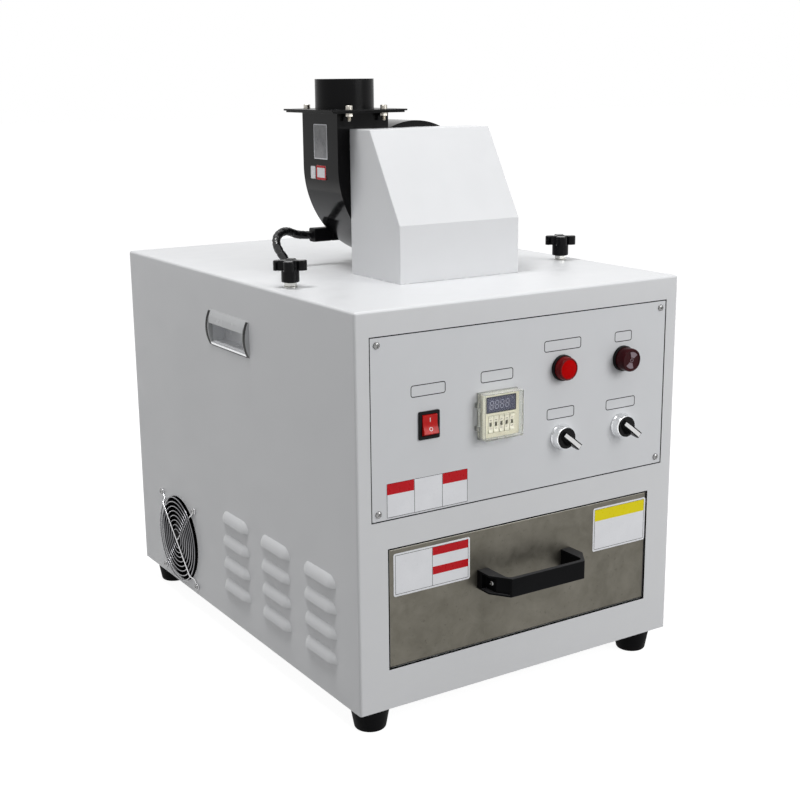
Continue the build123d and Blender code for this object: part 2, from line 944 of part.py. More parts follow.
def buzzer_cap():
    cap = round_cap(buzzer_radius, buzzer_height, lens_wall)
    front = panel_face - beacon_bezel_height - buzzer_height
    window = sector(buzzer_window_inner, buzzer_window_outer, buzzer_window_angle)
    for turn in (20, 200):
        cap -= from_front(Rot(0, 0, turn) * window, front - sheet, front + 2 * lens_wall)
    return Pos(right_column_x, 0, beacon_row) * cap


def sounder_disc():
    front = panel_face - beacon_bezel_height - buzzer_height + lens_wall
    base = panel_face - beacon_bezel_height
    disc = from_front(Circle(sounder_radius), front, front + sounder_thickness)
    disc += from_front(Circle(sounder_radius / 2), front + sounder_thickness, base)
    return Pos(right_column_x, 0, beacon_row) * disc


def contact_blocks():
    back = panel_face + barrel_length
    block = from_front(RectangleRounded(block_size, block_size, sheet), back, back + block_depth)
    groove = from_front(
        Rectangle(block_size / 4, 2 * block_size), back + block_depth / 2, back + 2 * block_depth
    )
    block -= groove
    blocks = []
    for x, z in panel_round_places():
        blocks.append(Pos(x, 0, z) * block)
    return group(blocks)


# Timer with thumb keys under a hinged clear cover

def key_places():
    for index in range(key_count):
        yield (index - (key_count - 1) / 2) * key_pitch


def timer_case():
    bezel = from_front(RectangleRounded(timer_size, timer_size, sheet), timer_front, panel_face)
    case = bezel + from_front(Rectangle(timer_body, timer_body), panel_face, panel_face + timer_body_depth)
    display = Pos(0, timer_display_rise) * Rectangle(
        timer_display_width + sheet_gap, timer_display_height + sheet_gap
    )
    case -= from_front(display, timer_front - sheet, timer_front + timer_display_thickness)
    slot = Rectangle(key_width + 2 * key_slot_gap, key_height + 4 * key_slot_gap)
    window = Rectangle(key_window_width + 2 * key_slot_gap, key_window_height + 2 * key_slot_gap)
    row_width = key_count * key_pitch
    row_height = 2 * digit_wheel_radius + 4 * key_slot_gap
    cavity_front = key_slot_floor + key_thickness / 2
    cavity_back = key_slot_floor + row_height
    cavity = Pos(0, -key_drop) * Rectangle(row_width, row_height)
    case -= from_front(cavity, cavity_front, cavity_back)
    rib_foot = key_slot_floor + sheet / 4
    rib = Pos(key_back, 0) * Circle(key_rib_radius)
    rib += Pos((key_back + rib_foot) / 2, 0) * Rectangle(rib_foot - key_back, 2 * key_rib_radius)
    for x in key_places():
        case -= from_front(Pos(x, -key_drop) * slot, timer_front - sheet, key_slot_floor)
        case += Pos(x, 0, -key_drop) * from_side(rib, -key_width / 2, key_width / 2)
        case -= from_front(Pos(x, -key_drop) * window, timer_front - sheet, cavity_back - sheet)
    return Pos(timer_x, 0, main_row) * case


def digit_wheels():
    axis_depth = key_slot_floor + digit_wheel_radius
    wheel_side = RegularPolygon(digit_wheel_radius, 10)
    half_row = key_count * key_pitch / 2
    wheels = from_side(hexagon(digit_wheel_radius), -half_row, half_row)
    for x in key_places():
        wheels += from_side(wheel_side, x - digit_wheel_width / 2, x + digit_wheel_width / 2)
    return Pos(timer_x, axis_depth, main_row - key_drop) * wheels


def timer_face():
    plate = Rectangle(timer_display_width, timer_display_height)
    face = from_front(
        Pos(0, timer_display_rise) * plate, timer_front, timer_front + timer_display_thickness
    )
    return Pos(timer_x, 0, main_row) * face


def digit_key(x):
    front = timer_front - key_proud
    back = front + key_thickness
    ridge = key_tab_height
    profile = outline(
        (back, -key_height / 2),
        (front, -key_height / 2),
        (front - ridge, -key_height / 2 + ridge),
        (front, -key_height / 2 + 3 * ridge),
        (front, key_height / 2 - 3 * ridge),
        (front - ridge, key_height / 2 - ridge),
        (front, key_height / 2),
        (back, key_height / 2),
    )
    profile -= Pos(back, 0) * Circle(key_rib_radius + running_gap)
    key = from_side(profile, -key_width / 2, key_width / 2)
    window = Rectangle(key_window_width, key_window_height)
    key -= from_front(window, front - 2 * ridge, back + ridge)
    return Pos(timer_x + x, 0, main_row - key_drop) * key


def knuckle(radius, low, high):
    plan = Pos(-cover_hinge_out, panel_face - cover_hinge_proud) * Circle(radius)
    return from_top(plan, low, high)


def cover_frame():
    opening = timer_size + 2 * cover_frame_gap
    back = panel_face
    front = panel_face - cover_frame_thickness
    ring = from_front(frame_of(cover_frame_size, cover_frame_size, opening, opening), front, back)
    reach = cover_hinge_out + cover_knuckle_radius
    ring_side = cover_frame_size / 2
    low = 2 * cover_knuckle_length + sheet_gap
    high = low + cover_knuckle_length
    for side in (1, -1):
        z_low = low if side > 0 else -high
        tab = outline(
            (-reach, back),
            (-reach, panel_face - cover_hinge_proud),
            (-ring_side - sheet_gap, panel_face - cover_hinge_proud),
            (-ring_side - sheet_gap, front),
            (-ring_side + sheet_gap, front),
            (-ring_side + sheet_gap, back),
        )
        ring += from_top(tab, z_low, z_low + cover_knuckle_length)
        ring += knuckle(cover_knuckle_radius, z_low, z_low + cover_knuckle_length)
    ring += knuckle(cover_pin_radius, -high, high)
    return Pos(timer_x, 0, main_row) * ring


def timer_cover():
    back = panel_face - cover_back_gap
    front = back - cover_height
    shell = from_front(RectangleRounded(cover_size, cover_size, sheet), front, back)
    inner = cover_size - 2 * cover_wall
    shell -= from_front(Rectangle(inner, inner), front + cover_wall, back + sheet)
    hinge_y = panel_face - cover_hinge_proud
    web = outline(
        (-cover_hinge_out, hinge_y),
        (-cover_hinge_out, hinge_y - cover_knuckle_radius),
        (-inner / 2, hinge_y - cover_knuckle_radius),
        (-inner / 2, hinge_y),
    )
    for side in (1, -1):
        z_low = cover_knuckle_length if side > 0 else -2 * cover_knuckle_length
        shell += knuckle(cover_knuckle_radius, z_low, z_low + cover_knuckle_length)
        shell += from_top(web, z_low, z_low + cover_knuckle_length)
    shell -= knuckle(cover_pin_radius + running_gap, -cover_size, cover_size)
    latch = Pos(0, -cover_size / 2) * Rectangle(8 * cover_wall, 2 * cover_wall)
    shell += from_front(latch, back - 3 * cover_wall, back)
    shell -= from_front(Rectangle(inner, inner), front + cover_wall, back + sheet)
    return Pos(timer_x, 0, main_row) * shell


# Drawer

def drawer_front():
    width = drawer_opening_width - 2 * drawer_front_gap
    height = drawer_opening_height - 2 * drawer_front_gap
    front = drawer_front_recess
    pan = from_front(Pos(0, drawer_z) * Rectangle(width, height), front, front + drawer_front_return)
    pan = fillet(pan.faces().sort_by(Axis.Y)[0].edges(), drawer_front_radius)
    inside = Rectangle(width - 2 * drawer_sheet, height - 2 * drawer_sheet)
    back = front + drawer_front_return
    return pan - from_front(Pos(0, drawer_z) * inside, front + drawer_sheet, back + sheet)


def drawer_tray():
    front = drawer_front_recess + drawer_sheet
    plan = Pos(0, (front + tray_back) / 2) * Rectangle(tray_width, tray_back - front)
    inside = Pos(0, (front + tray_back) / 2) * Rectangle(
        tray_width - 2 * drawer_sheet, tray_back - front - 2 * drawer_sheet
    )
    top = tray_floor + tray_wall_height
    tray = from_top(plan, tray_floor, top)
    tray -= from_top(inside, tray_floor + drawer_sheet, top + sheet)
    hem = Pos(0, (front + tray_back) / 2) * (
        Rectangle(tray_width, tray_back - front)
        - Rectangle(tray_width - 2 * tray_rim_width, tray_back - front - 2 * tray_rim_width)
    )
    return tray + from_top(hem, top - drawer_sheet, top)


def drawer_rails():
    web_low = foot_height + drawer_rail_web_bottom
    inner = tray_width / 2
    profile = outline(
        (inner, web_low),
        (inner + runner_sheet, web_low),
        (inner + runner_sheet, rail_flange),
        (inner + runner_sheet + drawer_rail_flange_width, rail_flange),
        (inner + runner_sheet + drawer_rail_flange_width, rail_flange + runner_sheet),
        (inner, rail_flange + runner_sheet),
    )
    front = drawer_front_recess + drawer_front_return + sheet_gap
    rail = from_front(profile, front, front + drawer_rail_length)
    axle = Pos(rear_roller_depth, rear_roller_z) * Circle(roller_axle_radius)
    rail += from_side(axle, inner + runner_sheet / 2, roller_inner_face + roller_width)
    return group(both_sides(rail))


def roller(radius, depth, height):
    ring = Circle(radius) - Circle(roller_axle_radius + running_gap)
    place = Pos(depth, height)
    return from_side(place * ring, roller_inner_face, roller_inner_face + roller_width)


def drawer_rollers():
    return group(both_sides(roller(rear_roller_radius, rear_roller_depth, rear_roller_z)))


def cabinet_rollers():
    return group(both_sides(roller(front_roller_radius, front_roller_depth, front_roller_z)))


def cabinet_rails():
    outer = bay_half_width
    channel_top = channel_floor + channel_clear_height
    channel = outline(
        (outer, channel_floor - runner_sheet),
        (outer, channel_top + runner_sheet),
        (outer - channel_flange_width, channel_top + runner_sheet),
        (outer - channel_flange_width, channel_top),
        (outer - runner_sheet, channel_top),
        (outer - runner_sheet, channel_floor),
        (outer - channel_flange_width, channel_floor),
        (outer - channel_flange_width, channel_floor - runner_sheet),
    )
    rail = from_front(channel, channel_front, channel_rear)
    web_middle = (channel_floor + front_roller_z) / 2
    web = Pos((runner_web_front + channel_front) / 2, web_middle) * Rectangle(
        channel_front - runner_web_front, channel_clear_height + 4 * runner_sheet
    )
    rail += from_side(web, outer - runner_sheet, outer)
    axle = Pos(front_roller_depth, front_roller_z) * Circle(roller_axle_radius)
    rail += from_side(axle, roller_inner_face, outer - runner_sheet / 2)
    return group(both_sides(rail))


def handle_pocket():
    half = handle_width / 2
    flat = handle_flat_width / 2
    base = drawer_front_recess
    floor = half - handle_pocket_depth
    return outline(
        (half + sheet, base - handle_pocket_start),
        (floor, base - handle_pocket_start),
        (floor, base - handle_pocket_end),
        (flat - sheet, handle_front + handle_end_skin),
        (half + sheet, handle_front + handle_end_skin),
    )


def drawer_handle():
    half = handle_width / 2
    flat = handle_flat_width / 2
    base = drawer_front_recess
    leg_end = base - handle_leg_straight
    outer = outline(
        (-half, base),
        (-half, leg_end),
        (-flat, handle_front),
        (flat, handle_front),
        (half, leg_end),
        (half, base),
    )
    inner_half = half - handle_leg_thickness
    inner_front = handle_front + handle_bar_thickness
    inner_depth = base - inner_front + sheet
    inner = Pos(0, inner_front + inner_depth / 2) * Rectangle(2 * inner_half, inner_depth)
    inner_corners = inner.vertices().group_by(Axis.Y)[0]
    bow = outer - fillet(inner_corners, handle_inner_radius)
    low = foot_height + handle_centre_height - handle_height / 2
    body = from_top(bow, low, low + handle_height)
    rims = body.faces().sort_by(Axis.Y)[0].edges().filter_by(Axis.X)
    body = fillet(rims, handle_edge_radius)
    pocket = from_top(handle_pocket(), low + handle_plate, low + handle_height - handle_plate)
    floor = half - handle_pocket_depth
    hole = Pos(base - handle_screw_back, low + handle_height / 2) * Circle(
        screw_shank_radius + hole_gap
    )
    bore = from_side(hole, floor - handle_leg_thickness / 3, floor)
    for cut in both_sides(pocket + bore):
        body -= cut
    return body


def handle_screws():
    height = foot_height + handle_centre_height
    depth = drawer_front_recess - handle_screw_back
    head = Circle(handle_screw_head_radius)
    shank = Circle(screw_shank_radius)
    floor = handle_width / 2 - handle_pocket_depth
    place = Pos(depth, height)
    screw = from_side(place * head, floor, floor + handle_screw_head_height)
    screw += from_side(place * shank, floor - handle_leg_thickness / 4, floor)
    return group(both_sides(screw))


# Drawer bay with its two decks, and the lamp chamber

def drawer_bay():
    wall = bay_half_width + sheet
    ledge = half_width - sheet
    hat = outline(
        (-wall, pan_top),
        (wall, pan_top),
        (wall, bay_top - sheet),
        (ledge, bay_top - sheet),
        (ledge, bay_top),
        (wall - sheet, bay_top),
        (wall - sheet, pan_top + sheet),
        (-wall + sheet, pan_top + sheet),
        (-wall + sheet, bay_top),
        (-ledge, bay_top),
        (-ledge, bay_top - sheet),
        (-wall, bay_top - sheet),
    )
    bay = from_front(hat, bay_front, bay_rear)
    back = Pos(0, (pan_top + bay_top) / 2) * Rectangle(2 * wall, bay_top - pan_top)
    bay += from_front(back, bay_rear, bay_rear + sheet)
    for near, far in ((bay_front, chamber_front + sheet), (chamber_rear - sheet, bay_rear)):
        deck = Pos(0, (near + far) / 2) * Rectangle(2 * wall, far - near)
        bay += from_top(deck, bay_top - sheet, bay_top)
    return bay


def chamber_liner():
    depth = chamber_rear - chamber_front
    middle = (chamber_rear + chamber_front) / 2
    width = 2 * chamber_half_width
    ring = Pos(0, middle) * frame_of(width, depth, width - 2 * sheet, depth - 2 * sheet)
    return from_top(ring, bay_top, body_top - sheet)


# Lamp carriage

def reflector_arc(inset):
    half = reflector_half_width - inset
    rise = reflector_rise - inset
    shoulder = reflector_shoulder * rise
    bow = (reflector_bow_across * half, reflector_bow_up * rise)
    return make_face(
        [
            Line((-half, 0), (-half, shoulder)),
            ThreePointArc((-half, shoulder), (-bow[0], bow[1]), (0, rise)),
            ThreePointArc((0, rise), bow, (half, shoulder)),
            Line((half, shoulder), (half, 0)),
            Line((half, 0), (-half, 0)),
        ]
    )


def reflector_housing():
    half = reflector_length / 2
    body = from_side(reflector_arc(0), -half, half)
    body -= from_side(reflector_arc(reflector_sheet), -half + reflector_sheet, half - reflector_sheet)
    mouth = Rectangle(2 * (half - reflector_sheet), 2 * (reflector_half_width - reflector_sheet))
    body -= from_top(mouth, -reflector_sheet, reflector_sheet)
    lip_width = 2 * (reflector_half_width + reflector_lip)
    lip = Rectangle(2 * half, lip_width) - Rectangle(2 * half, 2 * reflector_half_width)
    body += from_top(lip, 0, reflector_sheet)
    slot = SlotOverall(reflector_slot_length, reflector_slot_width)
    for place in (-1, 0, 1):
        vent = Pos(place * reflector_slot_pitch, 0) * slot
        body -= from_top(vent, reflector_rise / 2, 2 * reflector_rise)
    arm_end = chamber_half_width - sheet - sheet_gap
    arm_z = stud_bottom - reflector_mouth + 2 * lift_nut_height
    for side in (-1, 1):
        arm = outline(
            (side * half, arm_z - 3 * carriage_arm_width / 4),
            (side * (half + reflector_sheet), arm_z - 3 * carriage_arm_width / 4),
            (side * (half + reflector_sheet), arm_z - reflector_sheet),
            (side * arm_end, arm_z - reflector_sheet),
            (side * arm_end, arm_z),
            (side * half, arm_z),
        )
        body += from_front(arm, -carriage_arm_width / 2, carriage_arm_width / 2)
        hole = Pos(side * lift_x, 0) * Circle(lift_stud_radius + hole_gap)
        body -= from_top(hole, arm_z - 2 * sheet, arm_z + 2 * sheet)
    return Pos(0, lift_depth, reflector_mouth) * body


def lift_studs():
    arm_z = stud_bottom + 2 * lift_nut_height
    studs = []
    for x in (-lift_x, lift_x):
        stud = from_top(Circle(lift_stud_radius), stud_bottom, stud_top)
        lock_nut = Rot(0, 0, 30) * hexagon(lock_nut_width)
        stud += from_top(lock_nut, arm_z, arm_z + lift_nut_height)
        low_nut = arm_z - reflector_sheet
        stud += from_top(lock_nut, low_nut - lift_nut_height, low_nut)
        studs.append(Pos(x, lift_depth, 0) * stud)
    return group(studs)


def lift_nuts():
    bore = lift_stud_radius + hole_gap
    washer_top = body_top + washer_thickness
    nut = from_top(Circle(washer_radius) - Circle(bore), body_top, washer_top)
    nut += from_top(hexagon(lift_nut_width) - Circle(bore), washer_top, washer_top + lift_nut_height)
    nuts = []
    for x in (-lift_x, lift_x):
        nuts.append(Pos(x, lift_depth, 0) * nut)
    return group(nuts)


def star_knob(x, angle):
    bottom = knob_bottom + running_gap
    hub = turned(
        outline(
            (0, 0),
            (knob_hub_radius - knob_hub_chamfer, 0),
            (knob_hub_radius, knob_hub_chamfer),
            (knob_hub_radius, knob_hub_height + sheet),
            (0, knob_hub_height + sheet),
        ),
        (0, 0, 0),
        (0, 0, 1),
    )
    star = Circle(knob_lobe_circle)
    for index in range(knob_lobe_count):
        turn = Rot(0, 0, index * 360 / knob_lobe_count)
        star += turn * Pos(knob_lobe_circle, 0) * Circle(knob_lobe_radius)
        between = turn * Rot(0, 0, 180 / knob_lobe_count)
        star -= between * Pos(knob_lobe_circle + knob_lobe_radius / 2, 0) * Circle(knob_lobe_radius)
    lobes = from_top(star, knob_hub_height, knob_height)
    lobes = fillet(lobes.faces().sort_by(Axis.Z)[-1].edges(), knob_edge_radius)
    knob = hub + Rot(0, 0, angle) * lobes
    bore_top = knob_engagement + lift_travel + knob_tip_gap
    knob -= from_top(Circle(knob_dish_radius), knob_height - knob_dish_depth, knob_height + sheet)
    knob -= from_top(Circle(lift_stud_radius + running_gap), -sheet, bore_top)
    return Pos(x, lift_depth, bottom) * knob


def uv_lamp():
    half = lamp_length / 2
    tube = Pos(lift_depth, lamp_z) * Circle(lamp_radius)
    return from_side(tube, -half, half)


def lamp_holders():
    inner = lamp_length / 2 - lamp_holder_length / 2
    outer = reflector_length / 2 - reflector_sheet
    ring = Circle(lamp_holder_radius)
    holder = from_side(ring, inner, outer)
    socket = Circle(lamp_radius + running_gap)
    holder -= from_side(socket, inner - sheet, lamp_length / 2 + running_gap)
    holder = Pos(0, lift_depth, lamp_z) * holder
    return group(both_sides(holder))


# Side fan

def fan_plane(sketch, low, high):
    solid = from_side(sketch, low, high)
    return Pos(0, fan_centre_depth, body_bottom + fan_centre_height) * solid


def fan_frame():
    outer = -half_width + sheet
    inner = outer + fan_thickness
    square = RectangleRounded(fan_size, fan_size, fan_corner_radius)
    for y in (-1, 1):
        for z in (-1, 1):
            place = Pos(y * fan_screw_pitch / 2, z * fan_screw_pitch / 2)
            square -= place * Circle(screw_shank_radius + hole_gap)
    square -= Circle(fan_bore_radius)
    frame = fan_plane(square, outer, outer + fan_flange_thickness)
    frame += fan_plane(square, inner - fan_flange_thickness, inner)
    duct = Circle(fan_bore_radius + 2 * sheet) - Circle(fan_bore_radius)
    duct = duct & Rectangle(fan_size, fan_size)
    frame += fan_plane(duct, outer, inner)
    mount_front = inner - fan_strut_thickness
    frame += fan_plane(Circle(fan_mount_hub_radius), mount_front, inner)
    strut = Pos(fan_bore_radius / 2 + sheet, 0) * Rectangle(fan_bore_radius, fan_strut_width)
    for angle in (45, 135, 225, 315):
        frame += fan_plane(Rot(0, 0, angle) * strut, mount_front, inner)
    bore = Circle(fan_shaft_radius + running_gap)
    return frame - fan_plane(bore, mount_front - sheet, inner + sheet)


def fan_rotor():
    outer = -half_width + sheet
    front = outer + fan_flange_thickness
    hub_back = front + fan_hub_depth
    rotor = fan_plane(Circle(fan_hub_radius), front, hub_back)
    shaft_end = outer + fan_thickness - sheet
    rotor += fan_plane(Circle(fan_shaft_radius), hub_back - sheet, shaft_end)
    tip = fan_bore_radius - fan_blade_gap
    section = Rectangle(fan_blade_chord, fan_blade_thickness)
    root_plane = Plane.XY.offset(fan_hub_radius - 2 * sheet)
    tip_plane = Plane.XY.offset(tip)
    root = root_plane * Rot(0, 0, fan_blade_pitch_angle) * section
    far = tip_plane * Rot(0, 0, fan_blade_tip_angle) * section
    blade = loft([root, far], ruled=True)
    blade &= Cylinder(tip, 4 * fan_blade_chord, rotation=(0, 90, 0))
    middle = (front + hub_back) / 2
    for index in range(fan_blade_count):
        turned_blade = Rot(index * 360 / fan_blade_count, 0, 0) * blade
        rotor += Pos(middle, fan_centre_depth, body_bottom + fan_centre_height) * turned_blade
    return rotor


# Cross wire of the guard from eye to eye, at its own height over the rings, bent down to the side
def guard_arm(level):
    seat = guard_wire_radius - guard_stand_off
    reach = fan_screw_pitch / math.sqrt(2)
    foot = guard_arm_bend
    knee = foot - (level - seat)
    route = Polyline(
        (-reach, 0, seat),
        (-foot, 0, seat),
        (-knee, 0, level),
        (knee, 0, level),
        (foot, 0, seat),
        (reach, 0, seat),
    )
    section = Plane(origin=route @ 0, z_dir=route % 0) * RegularPolygon(guard_wire_radius, 6)
    arm = sweep(section, path=route, transition=Transition.RIGHT)
    low = seat - guard_wire_radius
    for x in (-reach, reach):
        arm += Pos(x, 0) * from_top(Circle(guard_eye_radius), low, low + 2 * guard_wire_radius)
        hole = Circle(screw_shank_radius + hole_gap)
        arm -= Pos(x, 0) * from_top(hole, low - sheet, low + 4 * guard_wire_radius)
    return arm


def fan_guard():
    wire = RegularPolygon(guard_ring_radius, 6)
    pitch = (guard_outer_radius - guard_inner_radius) / (guard_ring_count - 1)
    step = guard_wire_radius + guard_ring_radius - guard_weld
    guard = Rot(0, 0, -45) * guard_arm(0) + Rot(0, 0, 45) * guard_arm(-2 * step)
    for index in range(guard_ring_count):
        radius = guard_inner_radius + index * pitch
        guard += Pos(0, 0, -step) * revolve(Plane.XZ * (Pos(radius, 0) * wire), Axis.Z)
    place = Plane(
        origin=(-half_width - guard_stand_off, fan_centre_depth, body_bottom + fan_centre_height),
        x_dir=(0, 1, 0),
        z_dir=(-1, 0, 0),
    )
    return place.location * guard


# Carrying grips

def grip_pocket_sketch(margin):
    width = grip_width - 2 * grip_pocket_inset + 2 * margin
    height = grip_height - 2 * grip_pocket_inset + 2 * margin
    return Pos(grip_centre_depth, grip_z) * RectangleRounded(width, height, bend_radius)


def side_grip():
    half = grip_height / 2
    crown = make_face(
        [
            ThreePointArc((0, -half), (-grip_bulge, 0), (0, half)),
            Line((0, half), (0, -half)),
        ]
    )
    flange = from_front(crown, -grip_width / 2, grip_width / 2)
    window_top = half - grip_cover_height
    window_bottom = -half + grip_lip_height
    window = Pos(0, (window_top + window_bottom) / 2) * Rectangle(
        grip_width - 2 * grip_cheek - 2 * grip_wall, window_top - window_bottom
    )
    flange -= from_side(window, -2 * grip_bulge, sheet)
    outer = RectangleRounded(
        grip_width - 2 * grip_pocket_inset, grip_height - 2 * grip_pocket_inset, bend_radius
    )
    inner = RectangleRounded(
        grip_width - 2 * grip_pocket_inset - 2 * grip_wall,
        grip_height - 2 * grip_pocket_inset - 2 * grip_wall,
        bend_radius - sheet,
    )
    grip = flange + from_side(outer, 0, grip_pocket_depth)
    hollow = from_side(inner, 0, grip_pocket_depth - grip_wall)
    grip -= hollow
    finger_space = from_side(window, -2 * grip_bulge, grip_wall)
    grip -= finger_space
    seam = Pos(0, (window_top + half) / 2) * Rectangle(grip_groove, half - window_top)
    for y in (-1, 1):
        place = Pos(y * (grip_width / 2 - grip_cheek - grip_wall), 0)
        grip -= from_side(place * seam, -2 * grip_bulge, -grip_bulge / 2 - grip_groove)
    return Pos(-half_width, grip_centre_depth, grip_z) * grip


def side_grips():
    return group(both_sides(side_grip()))


# Exhaust hood

def hood_side(inset):
    front = hood_front_depth + inset
    rear = hood_rear_depth - inset
    rise = hood_top - hood_knee
    run = hood_top_front_depth - hood_front_depth
    knee = hood_knee - inset * (math.hypot(rise, run) - rise) / run
    top = hood_top - inset
    top_front = front + (top - knee) * run / rise
    return outline((front, hood_base), (front, knee), (top_front, top), (rear, top), (rear, hood_base))


def exhaust_hood():
    half = hood_width / 2
    hood = from_side(hood_side(0), -half, half)
    seams = [edge for edge in hood.edges() if edge.center().Z > hood_base + sheet]
    hood = fillet(seams, hood_edge_radius)
    hood -= from_side(hood_side(sheet), -half + sheet, half - sheet)
    inlet = Pos(impeller_centre_x, impeller_z) * Circle(blower_inlet_radius)
    return hood - from_front(inlet, hood_rear_depth - 2 * sheet, hood_rear_depth + sheet)


# Exhaust blower

def scroll_side(inset, top):
    left = neck_left_x + inset
    right = neck_right_x - inset
    outer = scroll_outer_radius - inset
    lower = scroll_lower_radius - inset
    upper = scroll_upper_radius - inset
    outer_z = scroll_bottom + scroll_outer_radius
    reach = right - scroll_upper_x
    end_angle = math.degrees(math.acos(reach / upper))
    end_z = scroll_level + math.sqrt(upper**2 - reach**2)
    return make_face(
        [
            Line((left, top), (left, outer_z)),
            CenterArc((scroll_centre_x, outer_z), outer, 180, 90),
            CenterArc((scroll_centre_x, scroll_level), lower, 270, 90),
            CenterArc((scroll_upper_x, scroll_level), upper, 0, end_angle),
            Line((right, end_z), (right, top)),
            Line((right, top), (left, top)),
        ]
    )


def blower_scroll():
    lip_bottom = neck_top - neck_lip_thickness
    scroll = from_front(scroll_side(0, neck_top), blower_front, blower_rear)
    scroll += Pos(neck_middle_x, blower_middle, 0) * from_top(
        Rectangle(neck_lip_width, neck_lip_depth), lip_bottom, neck_top
    )
    inside = scroll_side(blower_wall, neck_top + blower_wall)
    scroll -= from_front(inside, blower_front + blower_wall, blower_rear - blower_wall)
    inlet = Pos(impeller_centre_x, impeller_z) * Circle(blower_inlet_radius)
    scroll -= from_front(inlet, blower_front - sheet, blower_front + 2 * blower_wall)
    boss = Pos(impeller_centre_x, impeller_z) * Circle(motor_boss_radius + hole_gap)
    scroll -= from_front(boss, blower_rear - 2 * blower_wall, blower_rear + sheet)
    bolt_hole = from_top(Circle(bolt_radius + hole_gap), lip_bottom - sheet, neck_top + sheet)
    for x, y in adapter_bolt_places():
        scroll -= Pos(x, y, 0) * bolt_hole
    return scroll


def adapter_bolt_places():
    for x in (-1, 1):
        for y in (-1, 1):
            yield neck_middle_x + x * adapter_bolt_x, blower_middle + y * adapter_bolt_y


def duct_adapter():
    plate = Rectangle(adapter_width, adapter_depth) - Circle(collar_radius - collar_wall)
    adapter = Pos(neck_middle_x, blower_middle, 0) * from_top(plate, neck_top, adapter_top)
    collar = Circle(collar_radius) - Circle(collar_radius - collar_wall)
    adapter += Pos(neck_middle_x, blower_middle, 0) * from_top(collar, adapter_top, collar_top)
    bolt_hole = from_top(Circle(bolt_radius + hole_gap), neck_top - sheet, adapter_top + sheet)
    for x, y in adapter_bolt_places():
        adapter -= Pos(x, y, 0) * bolt_hole
    return adapter


def adapter_bolts():
    under = neck_top - neck_lip_thickness
    bolt = from_top(Circle(bolt_head_radius), adapter_top, adapter_top + bolt_head_height)
    bolt += from_top(Circle(bolt_radius), under - bolt_nut_height - bolt_end_length, adapter_top)
    bolt += from_top(hexagon(bolt_nut_width), under - bolt_nut_height, under)
    bolts = []
    for x, y in adapter_bolt_places():
        bolts.append(Pos(x, y, 0) * bolt)
    return group(bolts)


def impeller():
    front = blower_front + blower_wall + impeller_end_gap
    back = blower_rear - blower_wall - impeller_end_gap
    wheel = from_front(Circle(impeller_radius), back - impeller_plate, back)
    ring = Circle(impeller_radius) - Circle(impeller_inner_radius)
    wheel += from_front(ring, front, front + impeller_plate)
    middle_radius = (impeller_radius + impeller_inner_radius) / 2
    bow = impeller_radius - impeller_inner_radius
    half = impeller_blade_thickness / 2
    blade = make_face(
        [
            ThreePointArc(
                (impeller_inner_radius + half, -half),
                (middle_radius, bow / 4 - half),
                (impeller_radius - half, bow / 2 + half),
            ),
            Line(
                (impeller_radius - half, bow / 2 + half),
                (impeller_radius - 3 * half, bow / 2 + 2 * half),
            ),
            ThreePointArc(
                (impeller_radius - 3 * half, bow / 2 + 2 * half),
                (middle_radius - half, bow / 4 + half),
                (impeller_inner_radius + half, half),
            ),
            Line((impeller_inner_radius + half, half), (impeller_inner_radius + half, -half)),
        ]
    )
    for index in range(impeller_blade_count):
        turn = Rot(0, 0, index * 360 / impeller_blade_count)
        wheel += from_front(turn * blade, front + impeller_plate, back - impeller_plate)
    wheel += from_front(Circle(impeller_hub_radius), (front + back) / 2, back)
    shaft = Circle(impeller_shaft_radius)
    wheel += from_front(shaft, (front + back) / 2 - 2 * sheet, blower_rear + motor_length / 2)
    return Pos(impeller_centre_x, 0, impeller_z) * wheel


def blower_motor():
    flange = from_front(Circle(motor_flange_radius), blower_rear, blower_rear + motor_flange_thickness)
    body_end = blower_rear + motor_length
    can = Circle(motor_radius)
    for index in range(motor_rib_count):
        turn = Rot(0, 0, index * 360 / motor_rib_count)
        can -= turn * Pos(motor_radius, 0) * Rectangle(2 * sheet, 4 * sheet)
    motor = flange + from_front(can, blower_rear + motor_flange_thickness, body_end)
    motor += from_front(Circle(motor_cap_radius), body_end, body_end + 2 * motor_flange_thickness)
    motor += from_front(Circle(motor_boss_radius), blower_rear - blower_wall, blower_rear)
    bore = Circle(impeller_shaft_radius + running_gap)
    motor -= from_front(bore, blower_rear - 2 * blower_wall, blower_rear + motor_length / 2 + sheet)
    motor = Pos(impeller_centre_x, 0, impeller_z) * motor
    box_left = connector_left_x + connector_width
    box = Pos(box_left + motor_box_width / 2, connector_z + motor_box_height / 4) * RectangleRounded(
        motor_box_width, motor_box_height, sheet
    )
    return motor + from_front(box, blower_rear, blower_rear + motor_box_depth)


def lead_connector():
    right = connector_left_x + connector_width
    side = RectangleRounded(connector_depth, connector_height, 2 * sheet)
    place = Pos(blower_rear + connector_depth / 2, connector_z)
    block = from_side(place * side, connector_left_x, right)
    waist = frame_of(
        2 * connector_depth, 2 * connector_height, connector_depth - sheet, connector_height - sheet
    )
    waist_left = connector_left_x + connector_width * connector_waist_share
    return block - from_side(place * waist, waist_left, waist_left + 2 * sheet)


# Radius of each bend: the largest that its two runs allow
def lead_radii():
    points = [Vector(*point) for point in lead_route]
    radii = []
    for before, corner, after in zip(points, points[1:], points[2:]):
        arriving = corner - before
        leaving = after - corner
        turn = math.radians(arriving.get_angle(leaving))
        shorter = min(arriving.length, leaving.length)
        radii.append(lead_bend_share * shorter / math.tan(turn / 2))
    return radii


